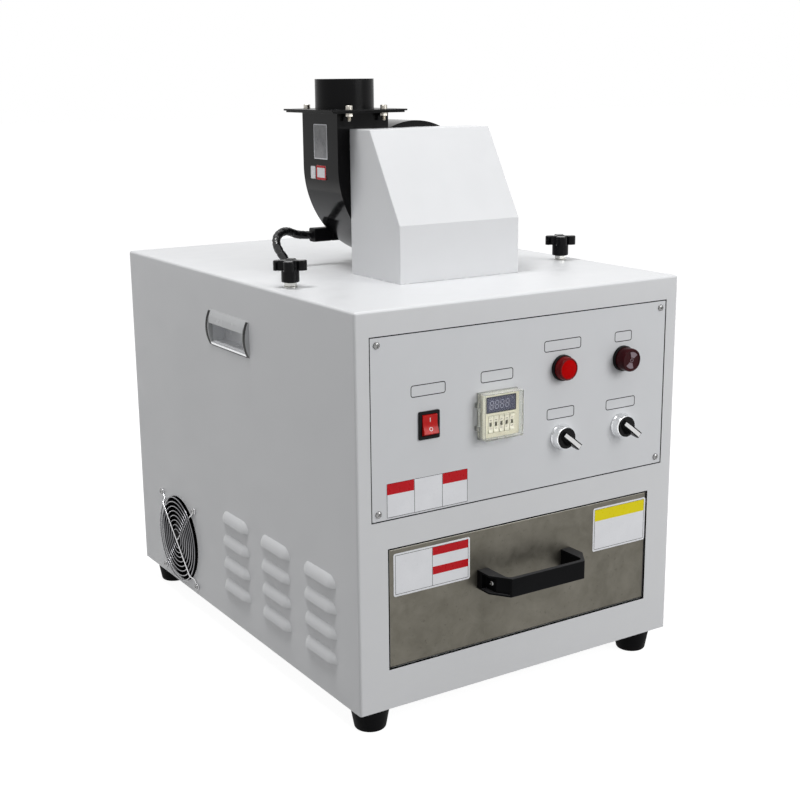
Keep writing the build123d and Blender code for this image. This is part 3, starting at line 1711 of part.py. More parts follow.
def blower_lead():
    radii = lead_radii()
    path = FilletPolyline(*lead_route, radius=radii)
    start = Plane(origin=path @ 0, z_dir=path % 0)
    lead = sweep(start * Circle(lead_diameter / 2), path=path)
    expected = math.pi * (lead_diameter / 2) ** 2 * path.length
    print("lead radii", [round(radius, 1) for radius in radii])
    print("lead length", round(path.length, 1), "volume ratio", round(lead.volume / expected, 4))
    return lead


def lead_grommet():
    inner = lead_diameter / 2 + sheet_gap
    waist = grommet_radius - grommet_flange
    low = body_top - sheet
    profile = outline(
        (inner, low - grommet_thickness),
        (grommet_radius, low - grommet_thickness),
        (grommet_radius, low),
        (waist, low),
        (waist, body_top),
        (grommet_radius, body_top),
        (waist, body_top + grommet_thickness),
        (inner, body_top + grommet_thickness),
    )
    return turned(profile, (grommet_x, grommet_depth, 0), (0, 0, 1))


# Electrical bay

def ballast():
    half = ballast_width / 2
    foot = Pos(ballast_x, ballast_centre_depth) * Rectangle(
        ballast_width + 2 * ballast_foot, ballast_depth
    )
    core = Pos(ballast_x, ballast_centre_depth) * Rectangle(ballast_width, ballast_depth)
    top = pan_top + ballast_height
    block = from_top(foot, pan_top, pan_top + 2 * sheet) + from_top(core, pan_top, top)
    winding = Pos(ballast_x, ballast_centre_depth) * RectangleRounded(
        ballast_width * ballast_winding_share, ballast_depth + 4 * ballast_foot / 3, 2 * bend_radius
    )
    return block + from_top(winding, pan_top + ballast_height / 4, top - ballast_height / 4)


def capacitor():
    place = Pos(capacitor_x, ballast_centre_depth)
    can = from_top(place * Circle(capacitor_radius), pan_top, pan_top + capacitor_height)
    clamp_low = pan_top + capacitor_height / 3
    clamp = place * Circle(capacitor_radius + sheet)
    can += from_top(clamp, clamp_low, clamp_low + 4 * bend_radius)
    for x in (-1, 1):
        spade = place * Pos(x * capacitor_radius / 3, 0) * Rectangle(spade_width, spade_thickness)
        top = pan_top + capacitor_height
        can += from_top(spade, top, top + spade_length)
    return can


def terminal_block():
    strip = Pos(ballast_x, terminal_centre_depth) * Rectangle(terminal_length, terminal_depth)
    block = from_top(strip, pan_top, pan_top + terminal_height)
    way = terminal_length / terminal_way_count
    for index in range(terminal_way_count):
        x = ballast_x + (index - (terminal_way_count - 1) / 2) * way
        notch = Pos(x, terminal_centre_depth) * Rectangle(way * terminal_way_share, terminal_depth / 3)
        block -= from_top(notch, pan_top + terminal_height / 2, pan_top + 2 * terminal_height)
    return block


def cable_gland():
    thread_end = cover_back - 3 * sheet - gland_hex_height
    gland = from_front(Circle(gland_thread_radius), thread_end, cabinet_depth)
    gland += from_front(hexagon(gland_hex_width), cabinet_depth, cabinet_depth + gland_hex_height)
    gland += from_front(hexagon(gland_hex_width), cover_back - gland_hex_height, cover_back)
    cap_start = cabinet_depth + gland_hex_height
    profile = make_face(
        [
            Line((0, 0), (gland_cap_radius, 0)),
            Line((gland_cap_radius, 0), (gland_cap_radius, gland_cap_height / 2)),
            ThreePointArc(
                (gland_cap_radius, gland_cap_height / 2),
                (gland_shoulder_radius, gland_shoulder_height),
                (gland_bore_radius + sheet, gland_cap_height),
            ),
            Line((gland_bore_radius + sheet, gland_cap_height), (0, gland_cap_height)),
            Line((0, gland_cap_height), (0, 0)),
        ]
    )
    gland += turned(profile, (0, cap_start, 0), (0, 1, 0))
    end = cabinet_depth + gland_proud
    gland -= from_front(Circle(gland_bore_radius), thread_end - sheet, end + sheet)
    return Pos(gland_x, 0, foot_height + gland_height) * gland


def build_parts():
    parts = {
        "cabinet_shell": cabinet_shell(),
        "base_plate": base_plate(),
        "rear_cover": rear_cover(),
        "rubber_feet": rubber_feet(),
        "case_screws": case_screws(),
        "control_panel": control_panel(),
        "rocker_housing": rocker_housing(),
        "rocker": rocker(),
        "selector_bezels": selector_bezels(),
        "fan_selector": selector(left_column_x),
        "uv_selector": selector(right_column_x),
        "beacon_bodies": beacon_bodies(),
        "pilot_lens": pilot_lens(),
        "buzzer_cap": buzzer_cap(),
        "sounder_disc": sounder_disc(),
        "contact_blocks": contact_blocks(),
        "timer_case": timer_case(),
        "timer_face": timer_face(),
        "digit_wheels": digit_wheels(),
        "cover_frame": cover_frame(),
        "timer_cover": timer_cover(),
        "drawer_front": drawer_front(),
        "drawer_tray": drawer_tray(),
        "drawer_rails": drawer_rails(),
        "drawer_rollers": drawer_rollers(),
        "cabinet_rails": cabinet_rails(),
        "cabinet_rollers": cabinet_rollers(),
        "drawer_handle": drawer_handle(),
        "handle_screws": handle_screws(),
        "drawer_bay": drawer_bay(),
        "chamber_liner": chamber_liner(),
        "reflector_housing": reflector_housing(),
        "lift_studs": lift_studs(),
        "lift_nuts": lift_nuts(),
        "left_star_knob": star_knob(-lift_x, left_knob_angle),
        "right_star_knob": star_knob(lift_x, right_knob_angle),
        "uv_lamp": uv_lamp(),
        "lamp_holders": lamp_holders(),
        "fan_frame": fan_frame(),
        "fan_rotor": fan_rotor(),
        "fan_guard": fan_guard(),
        "side_grips": side_grips(),
        "exhaust_hood": exhaust_hood(),
        "blower_scroll": blower_scroll(),
        "duct_adapter": duct_adapter(),
        "adapter_bolts": adapter_bolts(),
        "impeller": impeller(),
        "blower_motor": blower_motor(),
        "lead_connector": lead_connector(),
        "blower_lead": blower_lead(),
        "lead_grommet": lead_grommet(),
        "ballast": ballast(),
        "capacitor": capacitor(),
        "terminal_block": terminal_block(),
        "cable_gland": cable_gland(),
    }
    for index, x in enumerate(key_places()):
        parts[f"digit_key_{index + 1}"] = digit_key(x)
    return parts


os.makedirs("parts", exist_ok=True)
to_origin = Pos(-middle_x, -middle_y, 0)
for node, shape in build_parts().items():
    solids = [to_origin * solid for solid in shape.solids()]
    export_step(solids[0] if len(solids) == 1 else Compound(solids), f"parts/{node}.step")
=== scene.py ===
import bpy
import bmesh
import json
import math
import random
from mathutils import Matrix, Vector, noise as turbulence


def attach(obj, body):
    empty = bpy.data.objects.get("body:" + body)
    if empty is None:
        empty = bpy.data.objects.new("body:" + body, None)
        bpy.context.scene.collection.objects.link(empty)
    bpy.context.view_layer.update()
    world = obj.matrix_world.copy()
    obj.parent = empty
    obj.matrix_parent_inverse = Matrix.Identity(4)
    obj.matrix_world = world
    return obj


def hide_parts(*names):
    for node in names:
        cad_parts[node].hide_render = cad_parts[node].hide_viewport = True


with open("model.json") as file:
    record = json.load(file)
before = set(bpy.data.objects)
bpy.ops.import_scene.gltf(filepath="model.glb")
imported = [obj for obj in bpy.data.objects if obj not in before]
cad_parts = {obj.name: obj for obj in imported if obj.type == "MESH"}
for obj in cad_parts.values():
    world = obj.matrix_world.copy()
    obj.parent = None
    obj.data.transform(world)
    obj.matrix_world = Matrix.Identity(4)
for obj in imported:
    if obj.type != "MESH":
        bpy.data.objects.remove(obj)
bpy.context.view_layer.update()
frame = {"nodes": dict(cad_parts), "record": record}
print("frame loaded:", len(frame["nodes"]), "nodes")

mm = 0.001
cabinetShift = Vector((0.75, -288.5, 0))    # the cabinet's own origin in the frame, in millimetres
toFrame = Matrix.Scale(mm, 4) @ Matrix.Translation(cabinetShift)
edgeSplit = math.radians(32)
fullTurn = 2 * math.pi
towardsFront = (0, -1, 0)
towardsLeft = (-1, 0, 0)

bodyOf = {}
for bodyName, members in frame["record"]["behaviour"]["bodies"].items():
    bodyOf.update((member, bodyName) for member in members)
slotOf = {entry["node"]: entry["material_slot"] for entry in frame["record"]["subparts"]}


def moved(x, y, z):
    return Matrix.Translation((x, y, z))


def turned(degrees, axis="Z"):
    return Matrix.Rotation(math.radians(degrees), 4, axis)


def addObject(name, data):
    made = bpy.data.objects.new(name, data)
    bpy.context.scene.collection.objects.link(made)
    return made


# The camera stands where the photograph's edges meet it
photoView = {
    "place": (-0.8830383, -1.4189315, 0.6996551), "azimuth": 32.4015, "drop": 13.6904, "roll": -0.5507,
    "focal": 60.0232, "sensor": 36, "near": 0.05, "far": 60,
}
cameraData = bpy.data.cameras.new("photoCamera")
cameraData.lens = photoView["focal"]
cameraData.sensor_width = photoView["sensor"]
cameraData.clip_start = photoView["near"]
cameraData.clip_end = photoView["far"]
photoCamera = addObject("photoCamera", cameraData)
cameraTurn = turned(-photoView["azimuth"]) @ turned(90 - photoView["drop"], "X") @ turned(photoView["roll"])
photoCamera.matrix_world = moved(*photoView["place"]) @ cameraTurn
bpy.context.scene.camera = photoCamera
print("camera set")


def setInputs(tree, node, values):
    # numbers and colours are set, and what comes out of another node is linked
    for name, value in values.items():
        if isinstance(value, bpy.types.NodeSocket):
            tree.links.new(value, node.inputs[name])
        else:
            node.inputs[name].default_value = value


def newNode(tree, kind, output, values):
    made = tree.nodes.new("ShaderNode" + kind)
    setInputs(tree, made, values)
    return made.outputs[output]


def newMaterial(name):
    made = bpy.data.materials.new(name)
    made.use_nodes = True
    return made, made.node_tree


def setShader(tree, values):
    setInputs(tree, tree.nodes["Principled BSDF"], values)


def objectPoint(tree, scale=(1, 1, 1)):
    return newNode(tree, "Mapping", "Vector", {"Vector": newNode(tree, "TexCoord", "Object", {}), "Scale": scale})


def cloud(tree, point, scale, detail=3.0, roughness=0.5, distortion=0.0):
    return newNode(tree, "TexNoise", "Fac", {
        "Vector": point, "Scale": scale, "Detail": detail, "Roughness": roughness, "Distortion": distortion,
    })


def ramp(tree, value, stops):
    made = tree.nodes.new("ShaderNodeValToRGB")
    elements = made.color_ramp.elements
    while len(elements) < len(stops):
        elements.new(0.5)
    for element, (place, colour) in zip(elements, stops):
        element.position = place
        element.color = (*colour, 1)
    setInputs(tree, made, {"Fac": value})
    return made.outputs["Color"]


def span(tree, value, low, high, start=0.3, end=0.7):
    return newNode(tree, "MapRange", "Result", {
        "Value": value, "From Min": start, "From Max": end, "To Min": low, "To Max": high,
    })


def facingShare(tree, axis, start, end, low=0.0, high=1.0):
    # from low to high as a face turns from start to end along an axis
    normal = newNode(tree, "NewGeometry", "Normal", {})
    return span(tree, newNode(tree, "SeparateXYZ", axis, {"Vector": normal}), low, high, start, end)


def blendColours(tree, factor, first, second):
    made = tree.nodes.new("ShaderNodeMix")
    made.data_type = "RGBA"
    colours = [(*colour, 1) if isinstance(colour, tuple) else colour for colour in (first, second)]
    setInputs(tree, made, {0: factor, 6: colours[0], 7: colours[1]})
    return made.outputs[2]


def bump(tree, height, strength, distance, under=None):
    values = {"Strength": strength, "Distance": distance, "Height": height}
    if under is not None:
        values["Normal"] = under
    return newNode(tree, "Bump", "Normal", values)


# For each kind of finish: its clouds as noise scales, how strongly they show, and the turn of the faces
# on which it changes
paintLook = {
    "patches": 3.2, "spots": 38, "spotShare": 0.25, "waveRatio": 9, "wave": 0.12, "grain": 0.25,
    "downTurn": (-0.62, -0.12),
}
plasticLook = {"patches": 26, "shine": 70, "grain": 0.3, "upTurn": (0.3, 0.9)}
metalLook = {"patches": 22, "lines": 500, "grain": 0.25}


def paintedSheet(
    name, colour, shade, rough=(0.34, 0.46), grain=900, grainDepth=0.00004, gloss=0.5, bend=1.5, lowGloss=None
):
    made, tree = newMaterial(name)
    look = paintLook
    point = objectPoint(tree)
    spots = cloud(tree, point, look["spots"])
    broad = ramp(tree, cloud(tree, point, look["patches"], 4), [(0.3, shade), (0.7, colour)])
    fine = ramp(tree, spots, [(0.35, shade), (0.65, colour)])
    wave = bump(tree, cloud(tree, point, grain / look["waveRatio"], 2), look["wave"], grainDepth * 4)
    setShader(tree, {
        "Base Color": blendColours(tree, look["spotShare"], broad, fine), "Roughness": span(tree, spots, *rough),
        "Specular IOR Level": gloss, "IOR": bend,
        "Normal": bump(tree, cloud(tree, point, grain, 2), look["grain"], grainDepth, wave),
    })
    if lowGloss:
        # faces that look down keep their gloss, the others are dulled
        setShader(tree, {"Specular IOR Level": facingShare(tree, "Z", *look["downTurn"], lowGloss, gloss)})
    return made


def mouldedPlastic(
    name, colour, shade, rough=(0.3, 0.42), grain=1400, depth=0.00003, gloss=0.5, bend=1.5, paintedTopLight=None
):
    made, tree = newMaterial(name)
    look = plasticLook
    point = objectPoint(tree)
    tone = ramp(tree, cloud(tree, point, look["patches"], 4), [(0.32, shade), (0.68, colour)])
    if paintedTopLight:
        # faces that look up are painted lighter: a painted highlight on the tops
        tone = blendColours(tree, facingShare(tree, "Z", *look["upTurn"]), tone, paintedTopLight)
    setShader(tree, {
        "Base Color": tone, "Roughness": span(tree, cloud(tree, point, look["shine"]), *rough),
        "Specular IOR Level": gloss, "IOR": bend,
        "Normal": bump(tree, cloud(tree, point, grain, 2), look["grain"], depth),
    })
    return made


def bareMetal(name, colour, shade, rough=(0.22, 0.36), stretch=(1, 1, 1), depth=0.00002):
    made, tree = newMaterial(name)
    look = metalLook
    patches = cloud(tree, objectPoint(tree), look["patches"], 4)
    lines = cloud(tree, objectPoint(tree, stretch), look["lines"])
    setShader(tree, {
        "Metallic": 1.0, "Base Color": ramp(tree, patches, [(0.3, shade), (0.7, colour)]),
        "Roughness": span(tree, lines, *rough), "Normal": bump(tree, lines, look["grain"], depth),
    })
    return made


# the light fold colour is a painted highlight and the dark edge colour painted shade, laid on by the faces' turn
drawerLook = {
    "metallic": 0.8, "rough": (0.34, 0.5), "brushed": (0.03, 1, 1), "blotchShare": 0.34, "speckShare": 0.5,
    "broad": (12, 6, 0.62, 0.8), "patch": (46, 5, 0.6, 0.5), "speck": (210, 3, 0.7, 0.2), "brush": 900,
    "tones": [(0.28, (0.098, 0.092, 0.074)), (0.5, (0.130, 0.122, 0.100)), (0.78, (0.166, 0.156, 0.131))],
    "blotches": [(0.34, (0.082, 0.075, 0.058)), (0.68, (0.176, 0.165, 0.139))],
    "specks": (0.050, 0.044, 0.034), "folds": (0.62, 0.61, 0.58), "edges": (0.012, 0.011, 0.010),
    "speckSpan": (0.62, 0.76), "foldTurn": (-0.96, -0.55), "foldShare": 0.85, "edgeTurn": (-0.55, -0.2),
    "lines": 0.2, "depth": 0.00001,
}


def drawerSteel():
    # stainless sheet, dulled in cloudy patches and finely brushed along its width
    made, tree = newMaterial("cloudyStainless")
    look = drawerLook
    plain = objectPoint(tree)
    broad, patch, speck = [cloud(tree, plain, *look[kind]) for kind in ("broad", "patch", "speck")]
    tone = ramp(tree, broad, look["tones"])
    tone = blendColours(tree, look["blotchShare"], tone, ramp(tree, patch, look["blotches"]))
    specks = span(tree, speck, 0.0, look["speckShare"], *look["speckSpan"])
    tone = blendColours(tree, specks, tone, look["specks"])
    # the rolled folds round the face get a painted highlight, and the edges behind them painted shade
    folds = facingShare(tree, "Y", *look["foldTurn"], 0.0, look["foldShare"])
    tone = blendColours(tree, folds, tone, look["folds"])
    tone = blendColours(tree, facingShare(tree, "Y", *look["edgeTurn"]), tone, look["edges"])
    brushed = cloud(tree, objectPoint(tree, look["brushed"]), look["brush"])
    setShader(tree, {
        "Metallic": look["metallic"], "Base Color": tone, "Roughness": span(tree, patch, *look["rough"]),
        "Normal": bump(tree, brushed, look["lines"], look["depth"]),
    })
    return made


clearLook = {"clouds": 60, "wave": 0.02, "depth": 0.000004}


def clearPlastic(name, tint, rough, bend=1.46, clear=1.0):
    made, tree = newMaterial(name)
    look = clearLook
    point = objectPoint(tree)
    setShader(tree, {
        "Base Color": (*tint, 1), "Transmission Weight": clear, "IOR": bend,
        "Roughness": span(tree, cloud(tree, point, look["clouds"]), *rough),
        "Normal": bump(tree, cloud(tree, point, look["clouds"], 2), look["wave"], look["depth"]),
    })
    return made


lensLook = {
    "patches": 90, "shine": 150, "waves": 240, "wave": 0.1, "depth": 0.00004, "rough": (0.12, 0.22), "bend": 1.35,
}


def colouredLens(name, colour, deep, gloss):
    made, tree = newMaterial(name)
    look = lensLook
    point = objectPoint(tree)
    setShader(tree, {
        "Base Color": ramp(tree, cloud(tree, point, look["patches"], 2), [(0.3, deep), (0.7, colour)]),
        "Roughness": span(tree, cloud(tree, point, look["shine"], 2), *look["rough"]),
        "Specular IOR Level": gloss, "IOR": look["bend"],
        "Normal": bump(tree, cloud(tree, point, look["waves"], 2), look["wave"], look["depth"]),
    })
    return made


# the pocket's paler colour is painted light
gripPocketLight = {"colour": (0.86, 0.87, 0.89), "inner": 0.2170, "outer": 0.2195}


def gripPlastic():
    # grey outside and paler down in the pocket: painted light for the pocket's lit, scooped floor
    made = mouldedPlastic("gripGrey", (0.54, 0.55, 0.56), (0.50, 0.51, 0.52), rough=(0.2, 0.3))
    tree = made.node_tree
    outside = tree.nodes["Principled BSDF"].inputs["Base Color"].links[0].from_socket
    reach = tree.nodes.new("ShaderNodeMath")
    reach.operation = "ABSOLUTE"
    setInputs(tree, reach, {0: newNode(tree, "SeparateXYZ", "X", {"Vector": objectPoint(tree)})})
    pocketLight = span(tree, reach.outputs[0], 1.0, 0.0, gripPocketLight["inner"], gripPocketLight["outer"])
    setShader(tree, {"Base Color": blendColours(tree, pocketLight, outside, gripPocketLight["colour"])})
    return made


vinylLook = {
    "patches": 60, "shine": 320, "waves": 420, "wave": 0.12, "depth": 0.00003, "rough": (0.24, 0.4), "gloss": 0.2,
}


def printedVinyl(name, colour, shade):
    # a printed film: even colour, faint mottling and a soft gloss
    made, tree = newMaterial(name)
    look = vinylLook
    point = objectPoint(tree)
    setShader(tree, {
        "Base Color": ramp(tree, cloud(tree, point, look["patches"], 4), [(0.3, shade), (0.7, colour)]),
        "Roughness": span(tree, cloud(tree, point, look["shine"]), *look["rough"]),
        "Specular IOR Level": look["gloss"],
        "Normal": bump(tree, cloud(tree, point, look["waves"], 2), look["wave"], look["depth"]),
    })
    return made


whitePaint = paintedSheet("whitePowderCoat", (0.700, 0.708, 0.722), (0.672, 0.680, 0.694))
panelPaint = paintedSheet(
    "panelPowderCoat", (0.690, 0.702, 0.722), (0.664, 0.676, 0.696), rough=(0.30, 0.40), grain=1200
)
collarPaint = paintedSheet(
    "collarBlackPaint", (0.0062, 0.0062, 0.0066), (0.0044, 0.0044, 0.0048), rough=(0.2, 0.34), grain=700,
    gloss=0.14, bend=1.35
)
blackPaint = paintedSheet(
    "blowerBlackPaint", (0.0062, 0.0062, 0.0066), (0.0044, 0.0044, 0.0048), rough=(0.10, 0.18), grain=700,
    gloss=0.1, bend=1.45, lowGloss=0.55
)
motorPaint = paintedSheet(
    "motorBlackPaint", (0.014, 0.014, 0.015), (0.010, 0.010, 0.011), rough=(0.3, 0.42), grain=500,
    grainDepth=0.00008, gloss=0.3
)
ballastPaint = paintedSheet("ballastGrey", (0.16, 0.17, 0.18), (0.13, 0.14, 0.15))
footRubber = mouldedPlastic(
    "footRubber", (0.0065, 0.0065, 0.0070), (0.0045, 0.0045, 0.0050), rough=(0.5, 0.66), grain=900,
    depth=0.00006, gloss=0.10, bend=1.3
)
switchBlack = mouldedPlastic("switchBlack", (0.009, 0.009, 0.010), (0.006, 0.006, 0.007), gloss=0.16, bend=1.35)
glossBlack = mouldedPlastic(
    "glossBlack", (0.0050, 0.0050, 0.0058), (0.0035, 0.0035, 0.0042), rough=(0.10, 0.2), grain=600,
    depth=0.00001, gloss=0.15, bend=1.42
)
# the handle's upward faces get a lighter grey: a painted highlight
handleBlack = mouldedPlastic(
    "handleBlack", (0.0046, 0.0048, 0.0054), (0.0034, 0.0035, 0.0040), rough=(0.38, 0.52), grain=2200,
    depth=0.00005, gloss=0.06, bend=1.4, paintedTopLight=(0.038, 0.038, 0.040)
)
fanBlack = mouldedPlastic("fanBlack", (0.0045, 0.0045, 0.0052), (0.0032, 0.0032, 0.0038), gloss=0.05, bend=1.3)
sleeveBlack = mouldedPlastic(
    "wrinkledSleeve", (0.009, 0.009, 0.010), (0.005, 0.005, 0.006), rough=(0.14, 0.3), grain=260, depth=0.0003,
    gloss=0.55
)
# near-black for the strips of painted shade in the panel's and drawer's gaps
gasketBlack = mouldedPlastic(
    "gasketBlack", (0.0035, 0.0035, 0.0038), (0.0025, 0.0025, 0.0028), rough=(0.6, 0.75), gloss=0.05, bend=1.2
)
screwSteel = bareMetal("screwSteel", (0.34, 0.34, 0.34), (0.20, 0.20, 0.20), rough=(0.12, 0.2), depth=0.000004)
zincSteel = bareMetal("brightZinc", (0.66, 0.65, 0.62), (0.48, 0.48, 0.46), rough=(0.16, 0.3))
nickelBolt = bareMetal("nickelBolt", (0.58, 0.55, 0.50), (0.42, 0.40, 0.36), rough=(0.2, 0.34))
# a darker copy of the chromed wire for the guard's rings: painted shade for the dark reflections on them
plainWire = bareMetal("plainWire", (0.27, 0.27, 0.28), (0.15, 0.15, 0.16), rough=(0.14, 0.26))
chromeWire = bareMetal("chromedWire", (0.66, 0.66, 0.67), (0.50, 0.50, 0.51), rough=(0.10, 0.22))
lipMetal = bareMetal("gripLip", (0.74, 0.75, 0.77), (0.66, 0.67, 0.69), rough=(0.16, 0.22), depth=0.000002)
silverRing = bareMetal("satinBezel", (0.93, 0.94, 0.95), (0.86, 0.87, 0.88), rough=(0.16, 0.24), depth=0.000004)
zincSheet = bareMetal("zincSheet", (0.52, 0.53, 0.54), (0.40, 0.41, 0.42), rough=(0.32, 0.5))
reflectorMetal = bareMetal(
    "polishedReflector", (0.8, 0.8, 0.81), (0.7, 0.7, 0.71), rough=(0.05, 0.12), stretch=(0.05, 1, 1)
)
trayMetal = bareMetal(
    "trayStainless", (0.42, 0.41, 0.39), (0.32, 0.31, 0.29), rough=(0.3, 0.42), stretch=(1, 0.04, 1)
)
canSilver = bareMetal("capacitorCan", (0.66, 0.67, 0.68), (0.56, 0.57, 0.58), rough=(0.2, 0.3))
stainless = drawerSteel()
clearCover = clearPlastic("clearCover", (0.97, 0.98, 0.97), (0.02, 0.05), bend=1.14)
# a milkier copy of the clear plastic; on the cover's side walls it is a painted highlight for their bright edges
clearEdge = clearPlastic("clearEdge", (0.95, 0.96, 0.93), (0.10, 0.20), bend=1.22, clear=0.8)
quartz = clearPlastic("lampQuartz", (0.96, 0.97, 0.98), (0.01, 0.04))
lampRed = colouredLens("pilotRed", (0.54, 0.0012, 0.0018), (0.46, 0.0008, 0.0012), gloss=0.05)
lampSkirt = colouredLens("pilotSkirt", (0.17, 0.0025, 0.0040), (0.12, 0.0015, 0.0025), gloss=0.2)
buzzerRed = colouredLens("buzzerRed", (0.040, 0.0022, 0.0045), (0.026, 0.0014, 0.0028), gloss=0.16)
rockerRed = colouredLens("rockerRed", (0.60, 0.010, 0.008), (0.46, 0.005, 0.005), gloss=0.3)
timerCream = mouldedPlastic("timerCream", (0.63, 0.60, 0.47), (0.58, 0.55, 0.43))
keyCream = mouldedPlastic("keyCream", (0.70, 0.67, 0.55), (0.64, 0.61, 0.50))
displayBlue = mouldedPlastic(
    "displayBlue", (0.078, 0.080, 0.118), (0.064, 0.066, 0.100), rough=(0.12, 0.2), depth=0.00001, gloss=0.15
)
segmentPale = mouldedPlastic("segmentPale", (0.30, 0.30, 0.37), (0.26, 0.26, 0.32), rough=(0.2, 0.3), gloss=0.2)
wheelBlack = mouldedPlastic("digitWheelBlack", (0.010, 0.010, 0.009), (0.007, 0.007, 0.006), gloss=0.1, bend=1.3)
numeralWhite = mouldedPlastic("numeralWhite", (0.80, 0.80, 0.76), (0.74, 0.74, 0.70))
soundGrey = mouldedPlastic("sounderGrey", (0.30, 0.235, 0.265), (0.24, 0.185, 0.21), gloss=0.2)
blockGrey = mouldedPlastic("contactBlockGrey", (0.10, 0.105, 0.11), (0.08, 0.085, 0.09))
gripGrey = gripPlastic()
nylonWhite = mouldedPlastic("rollerNylon", (0.72, 0.72, 0.69), (0.66, 0.66, 0.63))
ceramicWhite = mouldedPlastic("lampCeramic", (0.70, 0.67, 0.60), (0.64, 0.61, 0.54), rough=(0.5, 0.65))
markWhite = printedVinyl("markWhite", (0.82, 0.82, 0.82), (0.76, 0.76, 0.76))
vinylWhite = printedVinyl("vinylWhite", (0.86, 0.87, 0.90), (0.82, 0.83, 0.86))
vinylRed = printedVinyl("vinylRed", (0.56, 0.0020, 0.0090), (0.50, 0.0015, 0.0070))
vinylYellow = printedVinyl("vinylYellow", (0.86, 0.74, 0.004), (0.82, 0.70, 0.003))
vinylSilver = printedVinyl("vinylSilver", (0.34, 0.34, 0.35), (0.20, 0.20, 0.21))
inkBlack = printedVinyl("inkBlack", (0.012, 0.012, 0.014), (0.008, 0.008, 0.010))

finishOf = {}
for finish, members in (
    (whitePaint, "cabinet_shell base_plate rear_cover exhaust_hood"), (panelPaint, "control_panel"),
    (blackPaint, "blower_scroll"), (collarPaint, "duct_adapter"), (motorPaint, "blower_motor"),
    (ballastPaint, "ballast"), (footRubber, "rubber_feet lead_grommet"), (sleeveBlack, "blower_lead"),
    (switchBlack, "rocker_housing beacon_bodies lead_connector cable_gland"), (handleBlack, "drawer_handle"),
    (glossBlack, "fan_selector uv_selector left_star_knob right_star_knob"), (fanBlack, "fan_frame fan_rotor"),
    (screwSteel, "case_screws handle_screws"), (nickelBolt, "adapter_bolts"), (zincSteel, "lift_nuts lift_studs"),
    (zincSheet, "drawer_rails cabinet_rails drawer_bay chamber_liner impeller"), (chromeWire, "fan_guard"),
    (silverRing, "selector_bezels"), (stainless, "drawer_front"), (trayMetal, "drawer_tray"),
    (reflectorMetal, "reflector_housing"), (canSilver, "capacitor"), (clearCover, "cover_frame timer_cover"),
    (quartz, "uv_lamp"), (lampRed, "pilot_lens"), (buzzerRed, "buzzer_cap"), (rockerRed, "rocker"),
    (soundGrey, "sounder_disc"), (timerCream, "timer_case"), (displayBlue, "timer_face"),
    (keyCream, "digit_key_1 digit_key_2 digit_key_3 digit_key_4 digit_key_5"), (wheelBlack, "digit_wheels"),
    (blockGrey, "contact_blocks terminal_block"), (gripGrey, "side_grips"), (ceramicWhite, "lamp_holders"),
    (nylonWhite, "drawer_rollers cabinet_rollers"),
):
    finishOf.update((member, finish) for member in members.split())
for nodeName, node in frame["nodes"].items():
    node.data.materials.clear()
    node.data.materials.append(finishOf[nodeName])
print("finishes made:", len(bpy.data.materials))


def markEdges(shape, split=edgeSplit):
    for edge in shape.edges:
        edge.smooth = len(edge.link_faces) != 2 or edge.calc_face_angle(0) < split
    for face in shape.faces:
        face.smooth = True


def roundEdges(piece, width, segments=2, split=edgeSplit):
    rounding = piece.modifiers.new("edgeRounding", "BEVEL")
    rounding.width = width
    rounding.segments = segments
    rounding.limit_method = "ANGLE"
    rounding.angle_limit = split
    rounding.harden_normals = True
    rounding.use_clamp_overlap = True


def finishPiece(mesh, name, body, material, replaced=()):
    piece = addObject(name, mesh)
    mesh.materials.clear()
    mesh.materials.append(material)
    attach(piece, body)
    if replaced:
        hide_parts(*replaced)
    return piece


def placed(shape, matrix):
    bmesh.ops.transform(shape, matrix=matrix, verts=shape.verts)
    return shape


def finishShape(shape, name, body, material, slotName, replaced=(), rounding=0.0, split=edgeSplit):
    # a shape drawn in cabinet millimetres becomes a piece in the frame
    bmesh.ops.remove_doubles(shape, verts=shape.verts, dist=0.002)
    bmesh.ops.recalc_face_normals(shape, faces=shape.faces)
    markEdges(placed(shape, toFrame), split)
    mesh = bpy.data.meshes.new(name)
    shape.to_mesh(mesh)
    shape.free()
    piece = finishPiece(mesh, name, body, material, replaced)
    if rounding:
        roundEdges(piece, rounding * mm, 2, split)
    return piece


def replaceNode(shape, name, node, material, **looks):
    # a piece drawn anew in place of a CAD node
    return finishShape(shape, name, bodyOf[node], material, slotOf[node], [node], **looks)


def besideNode(shape, name, node, material, **looks):
    # a piece added to a CAD node, on its body
    return finishShape(shape, name, bodyOf[node], material, slotOf[node], **looks)


def dressed(node, width, segments=2, name=None):
    # a CAD solid carried over with merged faces and rounded edges
    first, *others = node.split("_")
    name = name or first + "".join(word.capitalize() for word in others)
    mesh = frame["nodes"][node].data.copy()
    mesh.name = name
    shape = bmesh.new()
    shape.from_mesh(mesh)
    bmesh.ops.remove_doubles(shape, verts=shape.verts, dist=0.000002)
    bmesh.ops.dissolve_limit(shape, angle_limit=math.radians(0.6), verts=shape.verts, edges=shape.edges)
    markEdges(shape)
    shape.to_mesh(mesh)
    shape.free()
    if "custom_normal" in mesh.attributes:
        mesh.attributes.remove(mesh.attributes["custom_normal"])
    piece = finishPiece(mesh, name, bodyOf[node], finishOf[node], [node])
    if width:
        roundEdges(piece, width * mm, segments)


def facing(direction, place):
    # turns a shape drawn towards +Z to face a direction, at a place in cabinet millimetres
    turn = Vector(direction).to_track_quat("Z", "Y").to_matrix().to_4x4()
    return Matrix.Translation(Vector(place)) @ turn


def stood(shape, place, direction=towardsFront):
    return placed(shape, facing(direction, place))


def joinShape(whole, part, matrix=Matrix()):
    carrier = bpy.data.meshes.new("carrier")
    placed(part, matrix).to_mesh(carrier)
    part.free()
    whole.from_mesh(carrier)
    bpy.data.meshes.remove(carrier)


